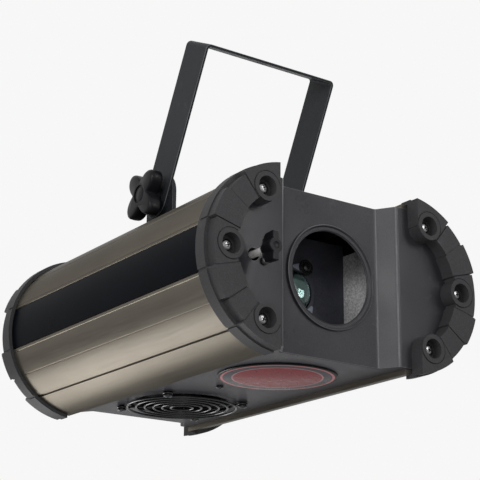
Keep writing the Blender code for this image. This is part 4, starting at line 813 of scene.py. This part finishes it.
def flatPlate():
    gap = plate["clear"]
    shift = foldShift(gap)
    corner = [(panel["recessX"] + shift, panel["recess"] + gap),
              (panel["wingX"] + shift, panel["wing"] + gap),
              (plate["edgeX"], panel["wing"] + gap)]
    half = corner + [(x, bodyLength - d) for x, d in reversed(corner)]
    loop = half + [(-x, d) for x, d in reversed(half)]
    return pushedOutline([(x, d, -plate["height"]) for x, d in loop], (0, 0, plate["sheet"]))


topPlate = moved(flatPlate(), shifted(0, 0, 2 * plate["height"] - plate["sheet"]))
place("topPlate", topPlate, "housing", "panelPaint", ["top_plate"], edge=0.3)
fanHole = rodOf(plate["fanHole"], -90, -50, (0, fan["depth"], 0), "Z", steps=128)
place("bottomPlate", carved(flatPlate(), cuts=[fanHole]), "housing", "panelPaint", ["bottom_plate"], edge=0.3)

top, low, reach = badge["top"], badge["top"] - badge["thick"], badge["radius"]
badgeDisc = turned([(0, top), (reach, top), (reach, top - 0.7), (reach - 0.25, top - 1.0), (reach - 0.7, low),
                    (0, low)], (0, badge["depth"], 0), "Z", 160)
place("badgeDisc", badgeDisc, "housing", "badgePrint", ["badge_disc"], sharp=30)
print("plates done")


# yoke, ears and star knobs
yoke = {"half": 73, "strap": 38, "thick": 2.5, "reach": 148.5, "bend": 5, "lean": 26.7, "pivot": (195, 103),
        "hole": 4.6, "clamp": 6.5, "sideHole": 4.55, "sideAt": 32}
ear = {"inner": 66.2, "outer": 70.2, "middle": 192, "radius": 22.5, "base": 71.3, "foot": 20, "footThick": 4,
       "footHalf": 23, "screws": 14, "screwX": 54}


def yokeStrap():
    y = yoke
    depth, height = y["pivot"]
    half, inner, top = y["half"], y["half"] - y["thick"], height + y["reach"]
    low, front = height - y["strap"] / 2, depth - y["strap"] / 2
    loop = [(half, low), (half, top), (-half, top), (-half, low), (-inner, low), (-inner, top - y["thick"]),
            (inner, top - y["thick"]), (inner, low)]
    rounds = [(i, y["bend"], 8) for i in (1, 2)] + [(i, y["bend"] - y["thick"], 8) for i in (5, 6)]
    strap = pushedOutline([(x, front, z) for x, z in loop], (0, y["strap"], 0), rounds)
    arch = boxOf((-80, 80), (front, front + y["strap"]), (low, top + 30))
    softened(arch, edgesAcross(arch, lambda z: z < low + 1), y["strap"] / 2 - 0.02, 20)
    holes = [rodOf(y["hole"], -90, 90, (0, depth, height), "X", steps=40)]
    holes += [rodOf(r, top - 20, top + 20, (x, depth, 0), "Z", steps=48)
              for x, r in ((0, y["clamp"]), (-y["sideAt"], y["sideHole"]), (y["sideAt"], y["sideHole"]))]
    pivot = shifted(0, depth, height)
    return moved(carved(strap, within=[arch], cuts=holes), pivot @ spun(y["lean"], "X") @ pivot.inverted())


def yokeEar():
    e = ear
    depth, height = yoke["pivot"]
    middle, radius, base = e["middle"], e["radius"], e["base"]
    upright = boxOf((e["inner"], e["outer"]), (middle - radius, middle + radius), (base, height + radius))
    softened(upright, edgesAcross(upright, lambda z: z > height), radius - 0.02, 24)
    foot = boxOf((e["inner"] - e["foot"], e["inner"] + 2), (middle - e["footHalf"], middle + e["footHalf"]),
                 (base, base + e["footThick"]), 2.5, "Z", 4)
    step = boxOf((plate["edgeX"], 80), (middle - 40, middle + 40), (base - 3, 76.3))      # clears the profile
    hole = rodOf(yoke["hole"], 60, 80, (0, depth, height), "X", steps=40)
    return carved(upright, adds=[foot], cuts=[step, hole])


place("yokeStrap", yokeStrap(), "yoke_body", "yokePaint", ["yoke"], edge=0.5, rounds=3,
      rubbed="rubbedYokeEdge")
placePair("Ear", yokeEar(), "yoke_ear", onHousing, "yokePaint", edge=0.4, rubbed="rubbedYokeEdge")

# the knob's sides swell and shrink over its length, as shares of its full size
star = {"radius": 27, "valley": 13, "lobes": 4, "turn": 50, "low": 77.8, "high": 91, "hub": 11,
        "hubLow": 73.3, "stud": 4, "studLow": 54.5,
        "start": ((0, 0.86), (0.4, 0.92), (1.2, 0.965), (2.6, 0.99)),
        "end": ((2.6, 0.99), (1.2, 0.96), (0.4, 0.915), (0, 0.84))}


def starKnob():
    s = star
    depth, height = yoke["pivot"]
    low, high, hub, hubLow = s["low"], s["high"], s["hub"], s["hubLow"]
    sections = [(low + d, scale) for d, scale in s["start"]] + [((low + high) / 2, 1.0)]
    sections += [(high - d, scale) for d, scale in s["end"]]
    rings = []
    for x, scale in sections:
        ring = []
        for i in range(120):
            t = fullTurn * i / 120
            swing = 0.5 + 0.5 * math.cos(s["lobes"] * (t - math.radians(s["turn"])))
            radius = (s["valley"] + (s["radius"] - s["valley"]) * swing ** 0.75) * scale
            ring.append(Vector((x, depth + radius * math.cos(t), height + radius * math.sin(t))))
        rings.append(ring)
    centre = (0, depth, height)
    collar = turned([(0, hubLow), (hub - 0.5, hubLow), (hub, hubLow + 0.5), (hub, low + 3), (0, low + 3)],
                    centre, "X", 48)
    dish = turned([(0, high - 1.2), (8.2, high - 1.2), (8.8, high + 1), (0, high + 1)], centre, "X", 48)
    button = turned([(0, high - 3), (6.6, high - 3), (6.6, high - 0.9), (5.8, high - 0.5), (0, high - 0.4)],
                    centre, "X", 40)
    stud = rodOf(s["stud"], s["studLow"], low + 6, centre, "X", 0.6)
    return joined(carved(skinned(rings), adds=[collar, stud], cuts=[dish]), button)


placePair("StarKnob", starKnob(), "yoke_knob", ("left_knob", "right_knob"), "blackPlastic", sharp=40)
print("yoke done")


# focus control and the lens
# each section of the wing knob is its depth, hub radius, arm length and half the arm's width
focus = {"rod": 3, "rodFront": -11.5, "rodBack": 93.4, "pocket": 3.3,
         "sections": ((-1.2, 4.0, 4.0, 4.0), (-1.7, 4.6, 4.6, 4.0), (-3.2, 5.0, 8.2, 3.8),
                      (-4.8, 5.4, 11.2, 3.1), (-5.6, 5.5, 11.8, 3.0), (-15.3, 6.2, 12.3, 2.8),
                      (-16.5, 6.0, 12.1, 2.6), (-17, 5.6, 11.6, 2.2))}
rodCentre = (panel["rodX"], 0, 0)


def wingKnob():
    rings = []
    for depth, hub, arm, half in focus["sections"]:
        ring = []
        for i in range(96):
            t = fullTurn * (i + 0.5) / 96
            radius = max(hub, min(arm, half / abs(math.cos(t))))
            ring.append(Vector((panel["rodX"] + radius * math.cos(t), depth, radius * math.sin(t))))
        rings.append(ring)
    pocket = rodOf(focus["pocket"], focus["rodFront"] - 0.3, 10, rodCentre)
    dimple = turned([(0, -18), (2.9, -18), (2.9, -16.7), (2.3, -16.4), (0, -16.4)], rodCentre, steps=40)
    return carved(skinned(rings), cuts=[pocket, dimple])


place("wingKnob", wingKnob(), "focus_slider", "blackPlastic", ["focus_knob"], edge=0.4, sharp=40)
focusRod = rodOf(focus["rod"], focus["rodFront"], focus["rodBack"], rodCentre, chamfer=0.5, steps=40)
place("focusRod", focusRod, "focus_slider", "rodSteel", ["focus_rod"], sharp=30)

lens = {"radius": 21, "seat": 84.1, "rim": 81.6, "rise": 6.5, "domeRadius": 18.5, "domeSteps": 14}


def frontLens():
    n = lens
    dome = []
    for i in range(n["domeSteps"] + 1):
        a = math.pi / 2 * i / n["domeSteps"]
        dome.append((n["domeRadius"] * math.sin(a), n["rim"] - n["rise"] * math.cos(a)))
    return turned(dome + [(n["radius"], n["rim"]), (n["radius"], n["seat"]), (0, n["seat"])], steps=96)


place("frontLens", frontLens(), "focus_slider", "lensGlass", ["objective_lens"], sharp=40)

# three clips hold the lens: a tongue under a black washer and a screw, over one ring
clip = {"angles": (61, 181, 301), "reach": 26.2, "point": 119, "low": 80.3, "thick": 1, "ring": (19.2, 22.3),
        "outline": ((-4.5, -3.5), (3, -4.5), (13.5, -0.8), (13.5, 1.5), (3, 4.5), (-4.5, 3.5)),
        "washer": ((1.6, 0.05), (7.2, 0.05), (7.2, 1.3), (6.7, 1.8), (5.2, 1.8), (4.7, 1.1), (1.6, 1.1),
                   (1.6, 0.05)),
        "screw": (3.7, 2.6, 1.5, 6), "screwSeat": 1.15}


def lensClips():
    c = clip
    low, high = c["low"], c["low"] + c["thick"]
    inner, outer = c["ring"]
    ring = turned([(inner, low), (outer, low), (outer, high), (inner, high), (inner, low)], steps=72)
    tongues, screws = [], []
    for angle in c["angles"]:
        t = math.radians(angle)
        at = shifted(c["reach"] * math.cos(t), 0, c["reach"] * math.sin(t))
        tongue = pushedOutline([(x, low - 0.05, z) for x, z in c["outline"]], (0, c["thick"] + 0.1, 0),
                               [(i, 1.2, 4) for i in range(len(c["outline"]))])
        tongues.append(moved(tongue, at @ spun(-angle - c["point"], "Y")))
        screws.append(moved(turned([(r, low - rise) for r, rise in c["washer"]], steps=56), at))
        screws.append(moved(panScrew(*c["screw"]), at @ shifted(0, low - c["screwSeat"], 0)))
    return ring, joined(*tongues), joined(*screws)


lensRing, clipPlates, clipScrews = lensClips()
place("lensRing", lensRing, "focus_slider", "carrierBlack", sharp=30, slotName="zinc_steel")
place("lensClips", clipPlates, "focus_slider", "clipSteel", ["lens_clip_ring"], edge=0.15)
place("lensClipScrews", clipScrews, "focus_slider", "blackScrew", sharp=30)
place("lensCarrier", fromCad("lens_carrier"), "focus_slider", "carrierBlack", ["lens_carrier"], edge=0.3)
# the pale box colour is painted light on the inner walls seen through the opening
place("lensBox", fromCad("lens_box"), "housing", "lightBoxPaint", ["lens_box"], edge=0.3)
guideRod = {"radius": 3, "low": 32.7, "high": 102, "upper": (-37, 0, 37), "lower": (37, 0, -37)}
for label in ("upper", "lower"):
    guide = rodOf(guideRod["radius"], guideRod["low"], guideRod["high"], guideRod[label], chamfer=0.4)
    place(f"{label}GuideRod", guide, "housing", "brightZinc", [f"{label}_guide_rod"], sharp=30)
print("focus and lens done")


def fanFrame():
    f = fan
    half, low, high = f["size"] / 2, f["low"], f["low"] + f["height"]
    centre = (0, f["depth"], 0)

    def strip(x, depth, height):
        return boxOf(x, (f["depth"] + depth[0], f["depth"] + depth[1]), height)

    shell = boxOf((-half, half), (f["depth"] - half, f["depth"] + half), (low, high), 5, "Z", 8)
    bore = turned([(0, low - 1), (f["bore"] + 1.2, low - 1), (f["bore"] + 0.6, low + 1.2),
                   (f["bore"], low + 3), (f["bore"], high + 1), (0, high + 1)], centre, "Z", 96)
    holes = [rodOf(2.2, low - 2, high + 2, (sx * f["screw"], f["depth"] + sy * f["screw"], 0), "Z", steps=20)
             for sx in sides for sy in sides]
    shell = carved(shell, cuts=[bore] + holes)
    arms = [strip((2 - half, half - 2), (-2.5, 2.5), (high - 2.5, high - 0.3)),
            strip((-2.5, 2.5), (2 - half, half - 2), (high - 2.4, high - 0.4))]
    return carved(shell, adds=arms + [rodOf(f["hub"], high - 3.5, high, centre, "Z", steps=48)])


def fanImpeller():
    f = fan
    hub, low, high = f["hub"], f["low"] + 2, f["low"] + f["height"] - 4.1
    parts = [turned([(0, low), (hub - 3, low), (hub - 1.6, low + 0.7), (hub - 1, low + 2.2), (hub - 1, high),
                     (0, high)], (0, f["depth"], 0), "Z", 64)]
    for i in range(f["blades"]):
        bm = bmesh.new()
        bmesh.ops.create_grid(bm, x_segments=9, y_segments=9, size=0.5)
        for vert in bm.verts:
            u, v = vert.co.x + 0.5, vert.co.y
            radius = hub - 2 + (f["blade"] - hub + 1.6) * u
            sweep = math.radians(360 / f["blades"] * i + 40 * v + 9 * u)
            rise = (low + high) / 2 + v * (13.5 - 3.5 * u) + 4.0 * (v * v - 0.25)
            vert.co = Vector((radius * math.cos(sweep), f["depth"] + radius * math.sin(sweep), rise))
        bmesh.ops.recalc_face_normals(bm, faces=bm.faces)
        bmesh.ops.solidify(bm, geom=bm.faces[:], thickness=1.2)
        parts.append(tidy(bm))
    return joined(*parts)


place("fanFrame", fanFrame(), "housing", "blackPlastic", ["fan_frame"])
place("fanImpeller", fanImpeller(), "fan_rotor", "blackPlastic", ["fan_impeller"])

guard = {"wire": 1.0, "first": 10.5, "step": 8.2, "rings": 6, "top": -71.3, "eyelet": 5}


def wireRing(radius, height):
    bm = bmesh.new()
    made = bmesh.ops.create_circle(bm, segments=12, radius=guard["wire"])["verts"]
    bmesh.ops.rotate(bm, verts=made, cent=(0, 0, 0), matrix=Matrix.Rotation(math.pi / 2, 3, "X"))
    bmesh.ops.translate(bm, verts=made, vec=(radius, 0, height))
    bmesh.ops.spin(bm, geom=bm.verts[:] + bm.edges[:], cent=(0, 0, 0), axis=(0, 0, 1), dvec=(0, 0, 0),
                   angle=fullTurn, steps=96, use_merge=True)
    return tidy(bm)


def fanGuard():
    g = guard
    middle = shifted(0, fan["depth"], 0)
    ringHeight = g["top"] - 3 * g["wire"]
    armHeight = ringHeight + 1.9 * g["wire"]
    reach = fan["screw"] * math.sqrt(2)
    parts = [moved(wireRing(g["first"] + i * g["step"], ringHeight), middle) for i in range(g["rings"])]
    for angle in (45, 135, 225, 315):
        at = middle @ spun(angle, "Z")
        arm = rodOf(g["wire"], 6, reach - g["eyelet"] + 1.2, (0, 0, armHeight), "X", steps=14)
        parts.append(moved(arm, at))
        eyelet = wireRing(g["eyelet"] - g["wire"], armHeight)
        parts.append(moved(eyelet, shifted(*(at @ Vector((reach, 0, 0))))))
    return joined(*parts)


place("fanGuard", fanGuard(), "housing", "blackWire", ["fan_guard"], sharp=50)


# small black screws: round the guard and under the badge's edge, in the left wing, on the ears and the eye
def blackScrews(name, shape, spots):
    # each spot is x, depth, height and size
    copies = [copied(shape, shifted(x, d, h) @ Matrix.Scale(size, 4)) for x, d, h, size in spots]
    shape.free()
    place(name, joined(*copies), "housing", "blackScrew", sharp=30)


around = [(sx * fan["screw"], fan["depth"] + sy * fan["screw"], -73.6, 1) for sx in sides for sy in sides]
around.append((-17, 168, -71.2, 0.8))
blackScrews("guardScrews", moved(panScrew(4.2, 2.6, 1.8, 8), spun(90, "X")), around)
blackScrews("wingScrew", panScrew(3.6, 2.2, 1.5, 6), [(-80, 13.5, -4, 1)])
print("fan done")

topScrew = moved(panScrew(4, 2.5, 1.8, 8), spun(-90, "X"))
onEars = [(side * ear["screwX"], ear["middle"] + way * ear["screws"], 75.4, 1)
          for side in sides for way in sides]
blackScrews("earScrews", copied(topScrew), onEars)
place("safetyEye", fromCad("safety_eye"), "housing", "brightZinc", ["safety_eye"], edge=0.5, rounds=3)
blackScrews("eyeScrews", topScrew, [(side * 15, 318.3, 73.9, 0.8) for side in sides])

# pieces with the solids' own shapes: node, name, finish, body and width of the softened edges
rearPieces = (
    ("mains_inlet", "powerInlet", "blackPlastic", "housing", 0.3),
    ("fuse_holder", "fuseHolder", "blackPlastic", "housing", 0.3),
    ("fuse_cap", "fuseCap", "blackPlastic", "fuse_carrier", 0.3),
    ("switch_frame", "switchFrame", "blackPlastic", "housing", 0.3),
    ("power_rocker", "switchRocker", "rockerRed", "rocker", 0.3),
    ("data_in_socket", "dataInSocket", "blackPlastic", "housing", 0.3),
    ("data_out_socket", "dataOutSocket", "blackPlastic", "housing", 0.3))
innerPieces = (
    ("flame_wheel", "flameWheel", "galvanisedSheet", "flame_rotor", 0.15),
    ("flame_wheel_hub", "flameWheelHub", "blackPlastic", "flame_rotor", 0.2),
    ("ripple_wheel", "rippleWheel", "rippleGlass", "ripple_rotor", 0.3),
    ("ripple_wheel_hub", "rippleWheelHub", "blackPlastic", "ripple_rotor", 0.2),
    ("flame_motor", "flameMotor", "galvanisedSheet", "housing", 0.3),
    ("ripple_motor", "rippleMotor", "galvanisedSheet", "housing", 0.3),
    ("chassis", "chassisSheet", "galvanisedSheet", "housing", 0.3),
    ("lamp_cradle", "lampCradle", "galvanisedSheet", "housing", 0.3),
    ("heat_glass", "heatGlass", "clearGlass", "housing", 0.3),
    ("condenser_lens", "condenserLens", "lensGlass", "housing", 0.3),
    ("lamp_reflector", "lampReflector", "mirrorSilver", "housing", 0.2),
    ("lamp", "lampCapsule", "clearGlass", "housing", 0.2),
    ("lamp_holder", "lampHolder", "whiteCeramic", "housing", 0.5),
    ("transformer_core", "transformerCore", "transformerIron", "housing", 0.5),
    ("transformer_coil", "transformerCoil", "coilCopper", "housing", 1.5),
    ("circuit_board", "circuitBoard", "boardGreen", "housing", 0.2))
for label, pieces in (("rear connections", rearPieces), ("inner pieces", innerPieces)):
    for node, name, finish, body, edge in pieces:
        place(name, fromCad(node), body, finish, [node], edge=edge)
    print(label + " done")


# studio: pale floor, pale surroundings, soft lamps; each lamp is its name, place, size and power
studio = {"floor": -0.95, "floorSize": 6, "floorColour": (0.80, 0.80, 0.81), "world": 0.34, "seen": 0.93,
          "middle": (0, 0, 0.1),
          "lamps": (("keyLamp", (-1.05, -1.8, -0.35), 0.9, 4.5), ("sideLamp", (-1.55, -0.75, 0.5), 0.6, 9),
                    ("foldLamp", (-1.2, -1.46, 0.59), 0.4, 6), ("lensLamp", (0.6, -1.7, 0.66), 0.46, 6),
                    ("lowLamp", (-0.22, 1.2, -0.84), 0.9, 15), ("topLamp", (0.8, -0.4, 1.8), 0.9, 3))}


def addFloor():
    bm = bmesh.new()
    bmesh.ops.create_grid(bm, x_segments=1, y_segments=1, size=studio["floorSize"])
    bmesh.ops.translate(bm, verts=bm.verts, vec=(0, 0, studio["floor"]))
    mesh = bpy.data.meshes.new("studioFloor")
    bm.to_mesh(mesh)
    bm.free()
    floor = bpy.data.objects.new("studioFloor", mesh)
    scene.collection.objects.link(floor)
    material, tree, shader = startMaterial("studioFloor")
    clouds = noiseOf(tree, objectPlace(tree), 3, 3)
    colour = studio["floorColour"]
    tone = rampOf(tree, clouds, ((0.3, colour), (0.7, tuple(c * 0.98 for c in colour))))
    tree.links.new(tone, shader.inputs["Base Color"])
    shader.inputs["Roughness"].default_value = 0.9
    mesh.materials.append(material)


def addSurroundings():
    # the world lights softly, and shows paler where it is seen, mirrored or looked at through glass
    world = bpy.data.worlds.new("studio")
    world.use_nodes = True
    scene.world = world
    tree = world.node_tree
    back = tree.nodes["Background"]
    back.inputs["Color"].default_value = (1, 1, 1, 1)
    ray = tree.nodes.new("ShaderNodeLightPath").outputs
    shown = mathOf(tree, "MAXIMUM", ray["Is Camera Ray"], ray["Is Glossy Ray"])
    shown = mathOf(tree, "MAXIMUM", shown, ray["Is Transmission Ray"])
    level = spanOf(tree, shown, studio["world"], studio["seen"], 0, 1)
    tree.links.new(level, back.inputs["Strength"])


def addLamps():
    for name, spot, size, power in studio["lamps"]:
        data = bpy.data.lights.new(name, "AREA")
        data.size = size
        data.energy = power
        lamp = bpy.data.objects.new(name, data)
        scene.collection.objects.link(lamp)
        aim = (Vector(spot) - Vector(studio["middle"])).to_track_quat("Z", "Y").to_matrix().to_4x4()
        lamp.matrix_world = Matrix.Translation(spot) @ aim
        lamp.visible_camera = False


addFloor()
addSurroundings()
addLamps()
print("studio done")
